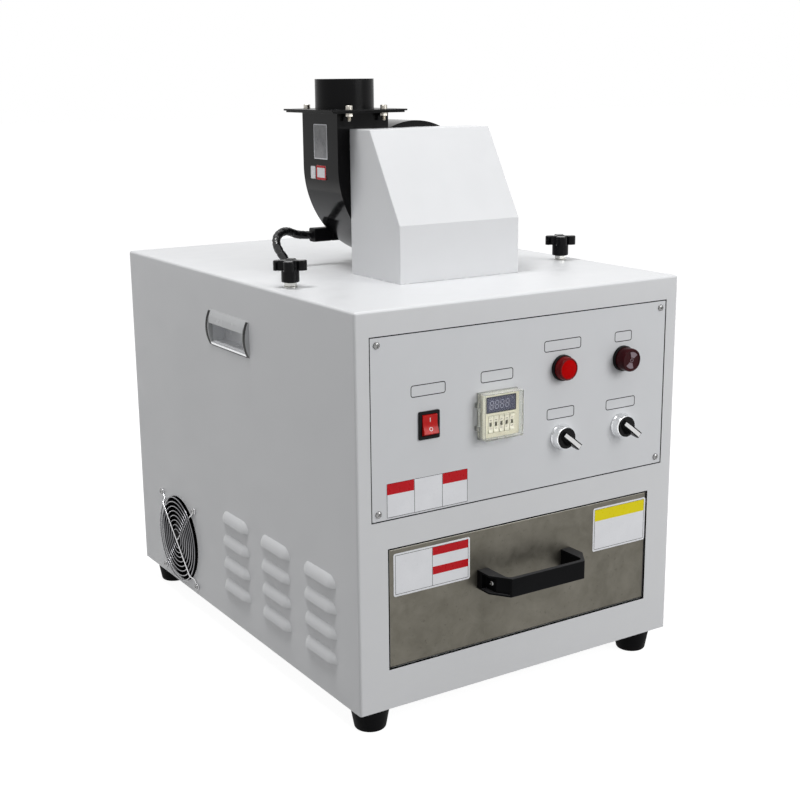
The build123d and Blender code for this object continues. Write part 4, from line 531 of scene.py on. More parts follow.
def curveMesh(curve):
    # the mesh of a curve or of lettering, which is then cleared away
    carrier = addObject(curve.name, curve)
    bpy.context.view_layer.update()
    mesh = bpy.data.meshes.new_from_object(carrier)
    bpy.data.objects.remove(carrier)
    bpy.data.curves.remove(curve)
    return mesh


def onlyVerts(geometry):
    return [item for item in geometry if isinstance(item, bmesh.types.BMVert)]


def closeEnds(shape):
    bmesh.ops.holes_fill(shape, edges=[edge for edge in shape.edges if edge.is_boundary], sides=0)


def spunShape(profile, steps=48, closed=False):
    # a profile of (radius, height) spun round Z
    shape = bmesh.new()
    verts = [shape.verts.new((radius, 0, height)) for radius, height in profile]
    edges = [shape.edges.new(pair) for pair in zip(verts, verts[1:])]
    if closed:
        edges.append(shape.edges.new((verts[-1], verts[0])))
    bmesh.ops.spin(
        shape, geom=verts + edges, cent=(0, 0, 0), axis=(0, 0, 1), angle=fullTurn, steps=steps, use_merge=True
    )
    bmesh.ops.remove_doubles(shape, verts=shape.verts, dist=0.001)
    bmesh.ops.recalc_face_normals(shape, faces=shape.faces)
    return shape


def thicken(shape, thickness):
    # a flat outline extruded towards +Z
    raised = bmesh.ops.extrude_face_region(shape, geom=shape.faces[:])["geom"]
    bmesh.ops.translate(shape, vec=(0, 0, thickness), verts=onlyVerts(raised))
    bmesh.ops.recalc_face_normals(shape, faces=shape.faces)
    return shape


def roundedFace(width, height, corner, segments=6):
    shape = bmesh.new()
    bmesh.ops.create_grid(shape, x_segments=1, y_segments=1, size=0.5)
    bmesh.ops.scale(shape, vec=(width, height, 1), verts=shape.verts)
    if corner:
        bmesh.ops.bevel(
            shape, geom=shape.verts[:], affect="VERTICES", offset=corner, offset_type="OFFSET",
            segments=segments, profile=0.5, material=-1
        )
    return shape


def plateShape(width, height, thickness, corner=0.0, segments=6):
    return thicken(roundedFace(width, height, corner, segments), thickness)


def borderShape(width, height, line, thickness, corner=0.0):
    # a rounded frame of one line's width
    shape = roundedFace(width, height, corner)
    bmesh.ops.inset_region(shape, faces=shape.faces[:], thickness=line, use_even_offset=True, use_boundary=True)
    inner = min(shape.faces, key=lambda face: (face.calc_center_median().length, -face.calc_area()))
    bmesh.ops.delete(shape, geom=[inner], context="FACES")
    return thicken(shape, thickness)


def nutShape(radius, height, chamfer):
    shape = bmesh.new()
    bmesh.ops.create_circle(shape, cap_ends=True, radius=radius, segments=6)
    thicken(shape, height)
    rims = [edge for edge in shape.edges if abs(edge.verts[0].co.z - edge.verts[1].co.z) < 0.001]
    bmesh.ops.bevel(
        shape, geom=rims, affect="EDGES", offset=chamfer, offset_type="OFFSET", segments=1, profile=0.5, material=-1
    )
    return shape


def tubeShape(points, radius, sides=10):
    # a ring of one size carried along the points, turned with them
    shape = bmesh.new()
    ring = bmesh.ops.create_circle(shape, radius=radius, segments=sides)["verts"]
    edges = list({edge for vert in ring for edge in vert.link_edges})
    lastDirection = (points[1] - points[0]).normalized()
    turn = Vector((0, 0, 1)).rotation_difference(lastDirection)
    standing = Matrix.Translation(points[0]) @ turn.to_matrix().to_4x4()
    bmesh.ops.transform(shape, matrix=standing, verts=ring)
    for index in range(1, len(points)):
        before = (points[index] - points[index - 1]).normalized()
        after = (points[min(index + 1, len(points) - 1)] - points[min(index, len(points) - 2)]).normalized()
        direction = (before + after).normalized()
        made = bmesh.ops.extrude_edge_only(shape, edges=edges)["geom"]
        edges = [item for item in made if isinstance(item, bmesh.types.BMEdge)]
        turn = lastDirection.rotation_difference(direction) @ turn
        place = Matrix.Translation(points[index]) @ turn.to_matrix().to_4x4()
        bmesh.ops.transform(shape, matrix=place @ standing.inverted(), verts=onlyVerts(made))
        standing = place
        lastDirection = direction
    closeEnds(shape)
    bmesh.ops.recalc_face_normals(shape, faces=shape.faces)
    return shape


# The blower's lead in its wrinkled sleeve, from the connector block down into the grommet
lead = {
    "points": [
        (-86, 327, 508), (-104, 327, 508), (-124, 323, 517), (-141, 316, 512),
        (-146, 308, 500), (-141, 299, 488), (-138, 292, 476), (-138, 292, 462.5),
    ],
    "length": 0.1155, "diameter": 0.011, "sleeveRadius": 4.9, "wrinkle": 0.62, "steps": 20, "sides": 28,
    "fold": (0.22, 0.22, 0.3), "foldShare": 0.9, "crease": 0.42, "creaseFrom": (7, 3, 11), "creaseSteep": 4.2,
    "creaseShare": 0.55, "deepest": -1.8, "highest": 0.95, "split": 60,
}


def leadPath():
    route = bpy.data.curves.new("leadRoute", "CURVE")
    route.dimensions = "3D"
    route.resolution_u = lead["steps"]
    line = route.splines.new("NURBS")
    line.points.add(len(lead["points"]) - 1)
    for point, place in zip(line.points, lead["points"]):
        point.co = (*(toFrame @ Vector(place)), 1)
    line.order_u = 3
    line.use_endpoint_u = True
    mesh = curveMesh(route)
    path = [vert.co.copy() for vert in mesh.vertices]
    bpy.data.meshes.remove(mesh)
    return path


def blowerLead():
    path = leadPath()
    centres = [toFrame.inverted() @ point for point in path]
    creaseFrom = Vector(lead["creaseFrom"])
    shape = tubeShape(centres, lead["sleeveRadius"], lead["sides"])
    for vert in shape.verts:
        nearest = min(centres, key=lambda centre: (centre - vert.co).length_squared)
        outward = (vert.co - nearest).normalized()
        fold = turbulence.noise(Vector([place * often for place, often in zip(vert.co, lead["fold"])]))
        crease = 1 - abs(turbulence.noise(vert.co * lead["crease"] + creaseFrom)) * lead["creaseSteep"]
        lift = min(lead["highest"], lead["foldShare"] * fold + lead["creaseShare"] * crease)
        vert.co += outward * lead["wrinkle"] * max(lead["deepest"], lift)
    piece = replaceNode(shape, "blowerLead", "blower_lead", sleeveBlack, split=math.radians(lead["split"]))


blowerLead()
print("lead laid")

# CAD solids used as they are, and how wide their edges are rounded, in millimetres
solidRounding = {
    "cabinet_shell": 0.0, "control_panel": 0.5, "exhaust_hood": 0.6, "drawer_front": 0.4, "drawer_handle": 0.45,
    "side_grips": 0.5, "timer_case": 0.4, "timer_cover": 0.4, "cover_frame": 0.3, "rocker_housing": 0.3,
    "rocker": 0.3, "blower_motor": 0.6, "blower_scroll": 0.4, "duct_adapter": 0.4, "fan_frame": 0.5,
    "fan_rotor": 0.3, "rubber_feet": 0.6, "lead_connector": 0.6, "fan_selector": 0.4, "uv_selector": 0.4,
    "cable_gland": 0.4, "beacon_bodies": 0.5, "rear_cover": 0.3, "terminal_block": 0.4, "ballast": 0.5,
    "capacitor": 0.8, "drawer_tray": 0.3, "reflector_housing": 0.3, "drawer_bay": 0.0, "chamber_liner": 0.0,
}
otherNames = {"rocker": "mainRocker", "ballast": "ballastCase", "capacitor": "capacitorBody"}
for node, width in solidRounding.items():
    dressed(node, width, name=otherNames.get(node))
for node in ("left_star_knob", "right_star_knob"):
    dressed(node, 1.1, segments=3)
for index in range(5):
    dressed(f"digit_key_{index + 1}", 0.15)
print("solids dressed:", len(solidRounding) + 7)

# Pan-head screws of the panel, the fan guard and the rear cover, and the handle's two
panScrew = {"radius": 3.75, "height": 2.35, "shank": 1.8, "length": 8.0, "slot": 0.85, "reach": 2.1, "depth": 1.1}
panelScrews = {"x": 194, "z": (253.9, 433.9), "face": 0.4}
guardScrews = {"face": -222.0, "y": 473.5, "z": 94.0, "reach": 52.5}
rearScrews = {"face": 600.0, "middle": 250.0, "reach": 211.5}
handleScrew = {"radius": 3.3, "height": 1.75, "shank": 1.8, "length": 3.4, "slot": 0.8, "reach": 1.9, "depth": 0.9}
screwTurns = {"first": 23, "step": 61}    # degrees, so that no two slots stand alike
headShape = {"rim": 0.25, "curve": 0.85, "arcSteps": 6, "steps": 28, "domeFrom": 0.3, "crossFoot": 0.82, "tip": 0.6}
handlePlace = {"x": 60.0, "y": -18.0, "z": 154.5, "turns": ((-1, 35), (1, 70))}


def panHead(radius, height, shank, length, slot, reach, depth):
    rim, tip, arcSteps = headShape["rim"], headShape["tip"], headShape["arcSteps"]
    profile = [(0, height)]
    for step in range(1, arcSteps + 1):
        turn = step / arcSteps * math.pi / 2
        rise = rim * height + (1 - rim) * height * math.cos(turn) ** headShape["curve"]
        profile.append((radius * math.sin(turn), rise))
    profile += [(radius, 0), (shank, 0), (shank, -length + tip), (shank - tip, -length), (0, -length)]
    shape = spunShape(profile, headShape["steps"])
    above = headShape["domeFrom"] * height
    for axis in ((1, 0, 0), (0, 1, 0)):
        for offset in (-reach, -slot / 2, slot / 2, reach):
            dome = [face for face in shape.faces if face.calc_center_median().z > above]
            cut = dome + list({edge for face in dome for edge in face.edges})
            cut += list({vert for face in dome for vert in face.verts})
            bmesh.ops.bisect_plane(shape, geom=cut, plane_co=Vector(axis) * offset, plane_no=axis, dist=0.0001)
    cross = []
    for face in shape.faces:
        middle = face.calc_center_median()
        across, along = sorted((abs(middle.x), abs(middle.y)))
        if middle.z > above and across < slot / 2 and along < reach:
            cross.append(face)
    for vert in onlyVerts(bmesh.ops.extrude_face_region(shape, geom=cross)["geom"]):
        vert.co = Vector((vert.co.x * headShape["crossFoot"], vert.co.y * headShape["crossFoot"], height - depth))
    bmesh.ops.delete(shape, geom=[face for face in cross if face.is_valid], context="FACES")
    return shape


def caseScrews():
    whole = bmesh.new()
    places = []
    for x in (-panelScrews["x"], panelScrews["x"]):
        places += [((x, panelScrews["face"], z), towardsFront) for z in panelScrews["z"]]
    face, middleY, middleZ, reach = guardScrews.values()
    for y in (-reach, reach):
        places += [((face, middleY + y, middleZ + z), towardsLeft) for z in (-reach, reach)]
    face, middle, reach = rearScrews.values()
    for x in (-reach, 0, reach):
        places += [((x, face, middle + z), (0, 1, 0)) for z in (-reach, 0, reach) if x or z]
    head = panHead(**panScrew)
    for index, (place, direction) in enumerate(places):
        turn = turned(screwTurns["first"] + screwTurns["step"] * index)
        joinShape(whole, head.copy(), facing(direction, place) @ turn)
    head.free()
    replaceNode(whole, "caseScrews", "case_screws", screwSteel)


def handleScrews():
    whole = bmesh.new()
    for side, turn in handlePlace["turns"]:
        place = (side * handlePlace["x"], handlePlace["y"], handlePlace["z"])
        joinShape(whole, panHead(**handleScrew), facing((side, 0, 0), place) @ turned(turn))
    replaceNode(whole, "handleScrews", "handle_screws", screwSteel)


caseScrews()
handleScrews()
print("screws set")

# Socket bolts with washers and nuts through the adapter's plate
adapterBolt = {
    "x": 23.5, "y": 50.5, "middle": (-64.75, 277.0), "plateTop": 661.3, "lipUnder": 657.3,
    "head": 4.1, "headHeight": 4.9, "socket": 2.2, "socketDepth": 2.6, "shank": 2.4, "washer": 4.3,
    "washerHeight": 0.7, "nut": 4.45, "nutHeight": 3.2, "tail": 5.8, "pitch": 0.6, "thread": 0.35,
}


def adapterBolts():
    size = adapterBolt
    top, head, socket, shank, washer = (size[key] for key in ("headHeight", "head", "socket", "shank", "washer"))
    thin, pitch = size["washerHeight"], size["pitch"]
    floor = top - size["socketDepth"]
    under = size["lipUnder"] - size["plateTop"]
    level = under - size["nutHeight"] - 0.8
    end = under - size["nutHeight"] - size["tail"]
    profile = [
        (0, floor), (socket, floor), (socket, top - 0.3), (socket + 0.3, top), (head - 0.5, top), (head, top - 0.5),
        (head, thin + 0.15), (head - 0.2, thin), (washer, thin), (washer, 0), (shank, 0), (shank, level),
    ]
    while level > end + 0.9:
        profile += [(shank - size["thread"], level - pitch / 2), (shank, level - pitch)]
        level -= pitch
    profile += [(shank - 0.5, end), (0, end)]
    bolt = spunShape(profile, 24)
    joinShape(bolt, spunShape([(shank, under), (washer, under), (washer, under - 0.7), (shank, under - 0.7)], 24, True))
    joinShape(bolt, nutShape(size["nut"], size["nutHeight"], 0.35), moved(0, 0, under - 0.7 - size["nutHeight"]))
    whole = bmesh.new()
    middleX, middleY = size["middle"]
    for x in (-1, 1):
        for y in (-1, 1):
            place = moved(middleX + x * size["x"], middleY + y * size["y"], size["plateTop"])
            joinShape(whole, bolt.copy(), place @ Matrix.Rotation(0.4 + x + 2 * y, 4, "Z"))
    bolt.free()
    replaceNode(whole, "adapterBolts", "adapter_bolts", nickelBolt)


adapterBolts()

# Washers and nuts under the two star knobs
liftNut = {
    "x": 193.0, "y": 184.0, "top": 470.0, "bore": 4.4, "washer": 7.8, "washerHeight": 1.6, "nut": 7.2,
    "nutHeight": 4.55, "turn": 0.3,
}


def liftNuts():
    size = liftNut
    bore, washer, thick = size["bore"], size["washer"], size["washerHeight"]
    pair = spunShape([
        (bore, 0), (washer - 0.3, 0), (washer, 0.3), (washer, thick - 0.3), (washer - 0.3, thick), (bore, thick),
    ], 40, True)
    joinShape(pair, nutShape(size["nut"], size["nutHeight"], 0.5), moved(0, 0, thick))
    whole = bmesh.new()
    for side in (-1, 1):
        place = moved(side * size["x"], size["y"], size["top"])
        joinShape(whole, pair.copy(), place @ Matrix.Rotation(size["turn"], 4, "Z"))
    pair.free()
    replaceNode(whole, "liftNuts", "lift_nuts", zincSteel)


liftNuts()
print("bolts and nuts set")

# The fan's guard: eight rings between two crossed wires
guard = {
    "place": (-226.0, 473.5, 94.0), "ringWire": 0.8, "armWire": 1.0, "rings": 8, "inner": 13.0, "outer": 57.0,
    "step": 1.6, "seat": -5.0, "bend": 63.0, "reach": 74.25, "eye": 3.5,
}


def guardRing(radius, wire, level, steps):
    loop = []
    for index in range(8):
        turn = index * fullTurn / 8
        loop.append((radius + wire * math.cos(turn), wire * math.sin(turn) + level))
    return spunShape(loop, steps, True)


def guardArm(level):
    seat, bend, reach = guard["seat"], guard["bend"], guard["reach"]
    knee = bend - (level - seat)
    half = [
        (reach - 2, seat), (bend + 1.2, seat), (bend - 0.9, seat + 0.9), (knee + 0.9, level - 0.9), (knee - 1.2, level),
    ]
    run = [Vector((-x, 0, z)) for x, z in half] + [Vector((x, 0, z)) for x, z in reversed(half)]
    arm = tubeShape(run, guard["armWire"])
    for side in (-1, 1):
        joinShape(arm, guardRing(guard["eye"], guard["armWire"], seat, 28), moved(side * reach, 0, 0))
    return arm


def fanGuard():
    size = guard
    across = size["outer"] - size["inner"]
    rings = bmesh.new()
    for index in range(size["rings"]):
        radius = size["inner"] + index * across / (size["rings"] - 1)
        joinShape(rings, guardRing(radius, size["ringWire"], -size["step"], 80))
    arms = bmesh.new()
    for level, turn in ((0.0, -45), (-2 * size["step"], 45)):
        joinShape(arms, guardArm(level), turned(turn))
    place = moved(*size["place"]) @ turned(-90, "Y") @ turned(-90)
    # the rings take the darker wire, which is painted shade; the crossed wires keep the bright chrome
    replaceNode(placed(rings, place), "fanGuardRings", "fan_guard", plainWire, split=math.radians(50))
    besideNode(placed(arms, place), "fanGuardArms", "fan_guard", chromeWire, split=math.radians(50))


fanGuard()
print("fan guard bent")

# Pilot lamp, buzzer and the two selectors
beacon = {
    "left": 48.4, "right": 137.4, "row": 381.0, "seat": -3.6, "lensRadius": 13.2, "lensHeight": 8.9,
    "buzzerRadius": 13.45, "buzzerHeight": 12.9, "petals": (3.2, 9.6), "petalTurns": (-20, 160), "petalWide": 70,
    "petalThick": 0.45, "petalRing": (1.6, 2.3),
}


def pilotLens():
    radius, height = beacon["lensRadius"], beacon["lensHeight"]
    place = (beacon["left"], beacon["seat"], beacon["row"])
    skirt = spunShape([
        (radius - 1.4, 0), (radius, 0), (radius, 1.2), (radius - 0.35, 1.5), (radius - 0.1, 1.9),
        (radius - 0.15, height - 2.0), (radius - 0.7, height - 0.75), (radius - 1.6, height - 0.15),
        (radius - 2.4, height - 0.35), (radius - 2.6, height - 1.6), (radius - 1.9, height - 2.2),
    ], 64, True)
    replaceNode(stood(skirt, place), "pilotSkirt", "pilot_lens", lampSkirt)
    disc = spunShape([
        (0, height - 0.05), (3.2, height - 0.09), (6.4, height - 0.2), (9.2, height - 0.38),
        (radius - 2.45, height - 0.62), (radius - 2.5, height - 1.5), (0, height - 1.5),
    ], 64)
    besideNode(stood(disc, place), "pilotDisc", "pilot_lens", lampRed)


def buzzerCap():
    radius, height, thick = beacon["buzzerRadius"], beacon["buzzerHeight"], beacon["petalThick"]
    place = (beacon["right"], beacon["seat"], beacon["row"])
    cap = spunShape([
        (radius - 1.4, 0), (radius, 0), (radius, 2.2), (radius - 0.3, 2.6), (radius - 0.3, 3.1), (radius, 3.5),
        (radius, height - 2.2), (radius - 0.5, height - 0.8), (radius - 1.5, height - 0.1),
        (radius - 2.3, height - 0.3), (radius - 2.6, height - 0.9), (0, height - 0.9), (0, height - 2.2),
        (radius - 1.4, height - 2.2),
    ], 64, True)
    replaceNode(stood(cap, place), "buzzerCap", "buzzer_cap", buzzerRed)
    petals = bmesh.new()
    for turn in beacon["petalTurns"]:
        blade = bmesh.new()
        ends = [blade.verts.new((radius, 0, 0)) for radius in beacon["petals"]]
        bmesh.ops.spin(
            blade, geom=ends + [blade.edges.new(ends)], cent=(0, 0, 0), axis=(0, 0, 1),
            angle=math.radians(beacon["petalWide"]), steps=12, use_merge=False
        )
        joinShape(petals, thicken(blade, thick), turned(90 - beacon["petalWide"] / 2 + turn))
    inner, outer = beacon["petalRing"]
    joinShape(petals, spunShape([(inner, 0), (outer, 0), (outer, thick), (inner, thick)], 28, True))
    bmesh.ops.translate(petals, vec=(0, 0, height - 1.0), verts=petals.verts)
    besideNode(stood(petals, place), "soundPetals", "sounder_disc", soundGrey, rounding=0.1)


pilotLens()
buzzerCap()

selector = {
    "left": 48.4, "right": 137.4, "row": 301.5, "face": 0.4, "bore": 4.3, "rim": 14.7, "step": 3.0, "mouth": 11.05,
    "lip": 12.3, "height": 9.95, "well": 3.0, "disc": 12.0, "discBore": 8.0, "discBack": 9.66, "discFront": 11.58,
    "lever": ((-7.75, -14.45, 2.1), (0.0, -19.12, 2.3), (12.2, -23.97, 2.5)),    # along, out, half the stripe
    "kneeShare": 0.25, "leverTurn": 45,
}


def selectorBezels():
    bore, rim, step, mouth, lip, height, well = (
        selector[key] for key in ("bore", "rim", "step", "mouth", "lip", "height", "well")
    )
    ring = spunShape([
        (bore, 0.05), (rim - 0.4, 0.05), (rim, 0.5), (rim, 1.3), (rim - 0.5, 1.9), (rim - 0.8, step + 0.4),
        (rim - 1.3, step + 2.6), (lip + 0.35, height - 1.4), (lip - 0.1, height - 0.3), (lip - 0.5, height),
        (mouth + 0.3, height - 0.15), (mouth, height - 0.6), (mouth, well), (bore, well),
    ], 72, True)
    both = bmesh.new()
    for column in (selector["left"], selector["right"]):
        joinShape(both, ring.copy(), facing(towardsFront, (column, selector["face"], selector["row"])))
    ring.free()
    replaceNode(both, "selectorBezels", "selector_bezels", silverRing, split=math.radians(40))


def leverDisc(column, node, name):
    # the rotor's flange, resting just clear of the bezel's lip
    radius, bore, back, front = (selector[key] for key in ("disc", "discBore", "discBack", "discFront"))
    disc = spunShape([
        (bore, back), (radius - 0.3, back), (radius, back + 0.3), (radius, front - 0.6),
        (radius - 0.18, front - 0.18), (radius - 0.6, front), (bore, front),
    ], 64, True)
    besideNode(stood(disc, (column, 0, selector["row"])), name, node, glossBlack)


def leverStripe(column, node, name):
    # a white inlay along the lever's ridge, wider at its nose
    back, knee, nose = selector["lever"]
    kneeShare = selector["kneeShare"]
    shape = bmesh.new()
    bmesh.ops.create_grid(shape, x_segments=8, y_segments=2, size=1)
    for vert in shape.verts:
        along = (vert.co.x + 1) / 2
        if along <= kneeShare:
            first, last, part = back, knee, along / kneeShare
        else:
            first, last, part = knee, nose, (along - kneeShare) / (1 - kneeShare)
        x, y, wide = (start + (end - start) * part for start, end in zip(first, last))
        vert.co = Vector((x, y - 0.02, vert.co.y * wide))
    raised = bmesh.ops.extrude_face_region(shape, geom=shape.faces[:])["geom"]
    bmesh.ops.translate(shape, vec=(-0.03, -0.1, 0), verts=onlyVerts(raised))
    place = moved(column, 0, selector["row"]) @ turned(selector["leverTurn"], "Y")
    besideNode(placed(shape, place), name, node, markWhite)


selectorBezels()
for makePart, ending in ((leverDisc, "Disc"), (leverStripe, "Stripe")):
    makePart(selector["left"], "fan_selector", "fanLever" + ending)
    makePart(selector["right"], "uv_selector", "uvLever" + ending)
print("panel controls turned")

# Rocker marks: a bar above and a ring below, printed on the two slanted halves
rockerMark = {
    "x": -130.7, "thick": 0.1, "bar": (0.9, 4.6), "barPlace": (-2.70, 347.7),
    "ring": (1.55, 2.2), "ringPlace": (-4.42, 337.9), "ringFacing": (0, -0.938, 0.347),
}


def rockerMarks():
    size = rockerMark
    x, thick = size["x"], size["thick"]
    inner, outer = size["ring"]
    marks = bmesh.new()
    joinShape(marks, stood(plateShape(*size["bar"], thick, 0.1, 2), (x, *size["barPlace"])))
    ring = spunShape([(inner, 0), (outer, 0), (outer, thick), (inner, thick)], 36, True)
    joinShape(marks, stood(ring, (x, *size["ringPlace"]), size["ringFacing"]))
    besideNode(marks, "rockerMarks", "rocker", markWhite)


rockerMarks()

# The timer's display digits, the drum numerals behind the keys' windows and dark marks on the keys: painted shade
# standing for their thumb grooves
timer = {
    "x": -42.0, "row": 341.9, "face": -8.0, "displayRise": 12.0, "display": (39.8, 17.8), "displayLine": 0.9,
    "digits": 4, "digitPitch": 7.0, "digit": (4.3, 8.6), "stroke": 0.95, "gap": 1.15, "slant": 0.1,
    "digitShift": -2.3, "dot": (15.4, 5.2), "dotRadius": 0.7, "ink": 0.05, "keys": 5, "keyPitch": 7.2,
    "keyDrop": 9.5, "keyFace": -8.4, "groove": (2.6, 0.55), "grooveRise": 4.6, "drumRadius": 4.0,
    "drumAxis": -2.12, "axle": (1.2, 17.8), "numeral": 3.4, "shrink": 0.86, "spread": 1.35, "set": "03300",
}


def displayDigits():
    wide, tall = timer["digit"]
    stroke, ink = timer["stroke"], timer["ink"]
    reach = timer["gap"] * stroke
    segments = bmesh.new()
    for index in range(timer["digits"]):
        middle = (index - (timer["digits"] - 1) / 2) * timer["digitPitch"] + timer["digitShift"]
        bars = [(0, level, wide - reach, stroke) for level in (-tall / 2, 0, tall / 2)]
        for side in (-wide / 2, wide / 2):
            bars += [(side, level, stroke, tall / 2 - reach) for level in (-tall / 4, tall / 4)]
        for x, z, width, height in bars:
            bar = plateShape(width, height, ink, min(width, height) * 0.3, 2)
            joinShape(segments, bar, moved(middle + x + z * timer["slant"], z, 0))
    radius = timer["dotRadius"]
    joinShape(segments, spunShape([(0, 0), (radius, 0), (radius, ink), (0, ink)], 20), moved(*timer["dot"], 0))
    place = (timer["x"], timer["face"] - 0.01, timer["row"] + timer["displayRise"])
    besideNode(stood(segments, place), "displayDigits", "timer_face", segmentPale)
    border = borderShape(*timer["display"], timer["displayLine"], 0.07, 0.4)
    besideNode(stood(border, place), "displayBorder", "timer_face", inkBlack)


def numeralShape(figure, height):
    words = bpy.data.curves.new("numeral", "FONT")
    words.body = figure
    words.size = height / 0.7
    words.align_x = "CENTER"
    words.align_y = "CENTER"
    mesh = curveMesh(words)
    shape = bmesh.new()
    shape.from_mesh(mesh)
    bpy.data.meshes.remove(mesh)
    return shape


def digitDrums():
    rim = timer["drumRadius"] - 0.05
    drums = bmesh.new()
    figures = bmesh.new()
    for index, shown in enumerate(timer["set"]):
        column = moved((index - 2) * timer["keyPitch"], 0, 0)
        drum = spunShape([(0, -1.6), (rim - 0.6, -1.6), (rim, -1.45), (rim, 1.45), (rim - 0.6, 1.6), (0, 1.6)], 40)
        joinShape(drums, drum, column @ turned(90, "Y"))
        for step in (-1, 0, 1):
            figure = numeralShape(str((int(shown) - step) % 10), timer["numeral"] * timer["shrink"])
            lean = Matrix.Rotation(step * fullTurn / 10 * timer["spread"], 4, "X")
            out = facing(towardsFront, (0, -timer["drumRadius"] + 0.02, 0))
            joinShape(figures, thicken(figure, timer["ink"]), column @ lean @ out)
    thick, end = timer["axle"]
    joinShape(drums, spunShape([(0, -end), (thick, -end), (thick, end), (0, end)], 20), turned(90, "Y"))
    place = moved(timer["x"], timer["drumAxis"], timer["row"] - timer["keyDrop"])
    replaceNode(placed(drums, place), "digitDrums", "digit_wheels", wheelBlack)
    besideNode(placed(figures, place), "drumNumerals", "digit_wheels", numeralWhite)


def keyGrooveShades():
    # flat dark marks on each key, painted shade for its thumb grooves
    for index in range(timer["keys"]):
        grooveShades = bmesh.new()
        for level in (-timer["grooveRise"], timer["grooveRise"]):
            joinShape(grooveShades, plateShape(*timer["groove"], timer["ink"], 0.15, 2), moved(0, level, 0))
        column = timer["x"] + (index - 2) * timer["keyPitch"]
        place = (column, timer["keyFace"] - 0.005, timer["row"] - timer["keyDrop"])
        besideNode(stood(grooveShades, place), f"keyGrooves{index + 1}", f"digit_key_{index + 1}", wheelBlack)


displayDigits()
digitDrums()
keyGrooveShades()
# the cover's side walls and the whole frame take the milkier finish, a painted highlight along the cover's edges
for clearPiece in ("timerCover", "coverFrame"):
    shell = bpy.data.objects[clearPiece].data
    shell.materials.append(clearEdge)
    for polygon in shell.polygons:
        if abs(polygon.normal.y) < 0.5 or clearPiece == "coverFrame":
            polygon.material_index = 1
print("timer fitted")


def flatMark(shape, name, material, place, body="cabinet", rounding=0.0):
    return finishShape(stood(shape, place), name, body, material, "white_paint", rounding=rounding)


# Black strips in the gaps round the panel and the drawer: painted shade, standing for the shadow in the gaps
gapShades = {
    "panelSeal": {"middle": (0, 343.9), "outer": (405.8, 197.8), "line": 1.15, "front": 0.3, "depth": 1.0},
    "drawerSeal": {"middle": (0, 144.5), "outer": (366.5, 138.0), "line": 1.3, "front": -0.06, "depth": 1.2},
}
for gapShadeName, size in gapShades.items():
    x, z = size["middle"]
    strip = borderShape(*size["outer"], size["line"], size["depth"])
    flatMark(strip, gapShadeName, gasketBlack, (x, size["front"] + size["depth"], z))

# Printed legend frames on the panel, left empty
legends = {
    "face": 0.4, "line": 0.95, "corner": 3.0, "thick": 0.06,
    "frames": [
        (-153, -109, 380, 13), (-63.4, -19.8, 383.6, 13), (22.7, 75.3, 407, 13), (124.9, 150.7, 406.6, 12.4),
        (27.8, 67.3, 329, 13), (114.2, 158.6, 328, 12.6),
    ],    # left, right, middle height, height
}
frames = bmesh.new()
for left, right, level, tall in legends["frames"]:
    border = borderShape(right - left, tall, legends["line"], legends["thick"], legends["corner"])
    joinShape(frames, border, moved((left + right) / 2, level, 0))
flatMark(frames, "legendFrames", inkBlack, (0, legends["face"], 0))

# Blank vinyl plates on the panel and the drawer, each with plain coloured fields
plates = {
    "panelPlate": {
        "body": "cabinet", "face": 0.4, "box": (-183.7, -80.3, 247.8, 285.5), "corner": 0.6, "margin": 0.0,
        "colour": "Red", "fields": [(0.0, 0.335, 0.66, 1.0), (0.68, 1.0, 0.66, 1.0)], "lines": [0.335, 0.68],
    },
    "drawerLeftPlate": {
        "body": "drawer", "face": 1.0, "box": (-176.0, -76.5, 157.6, 206.3), "corner": 2.5, "margin": 2.0,
        "colour": "Red", "fields": [(0.5, 1.0, 0.77, 1.0), (0.5, 1.0, 0.28, 0.5)], "lines": [0.5],
    },
    "drawerRightPlate": {
        "body": "drawer", "face": 1.0, "box": (100.3, 181.5, 152.0, 205.5), "corner": 2.5, "margin": 2.0,
        "colour": "Yellow", "fields": [(0.0, 1.0, 0.70, 1.0)], "lines": [],
    },
}
plateInk = {"rim": 0.5, "film": 0.12, "ink": 0.04, "field": 0.05, "inset": 0.9}
vinylOf = {"Red": vinylRed, "Yellow": vinylYellow}


def blankPlate(name, size):
    left, right, low, high = size["box"]
    body, margin, film = size["body"], size["margin"], plateInk["film"]
    middle = ((left + right) / 2, size["face"], (low + high) / 2)
    width, height = right - left, high - low
    flatMark(plateShape(width, height, film, size["corner"]), name, vinylWhite, middle, body, rounding=0.04)
    innerWide, innerTall = width - 2 * margin, height - 2 * margin
    corner = max(0.2, size["corner"] - margin)
    ink = borderShape(innerWide - 0.2, innerTall - 0.2, plateInk["rim"], plateInk["ink"], corner)
    for share in size["lines"]:
        joinShape(ink, plateShape(0.5, innerTall - 0.4, plateInk["ink"]), moved((share - 0.5) * innerWide, 0, 0))
    lifted = (middle[0], middle[1] - film, middle[2])
    flatMark(ink, name + "Lines", inkBlack, lifted, body)
    fields = bmesh.new()
    for start, end, bottom, top in size["fields"]:
        fieldWide = (end - start) * innerWide - plateInk["inset"]
        fieldTall = (top - bottom) * innerTall - plateInk["inset"]
        place = moved(((start + end) / 2 - 0.5) * innerWide, ((bottom + top) / 2 - 0.5) * innerTall, 0)
        joinShape(fields, plateShape(fieldWide, fieldTall, plateInk["field"], 0.25, 2), place)
    flatMark(fields, name + size["colour"], vinylOf[size["colour"]], lifted, body)


for plateName, plateSize in plates.items():
    blankPlate(plateName, plateSize)

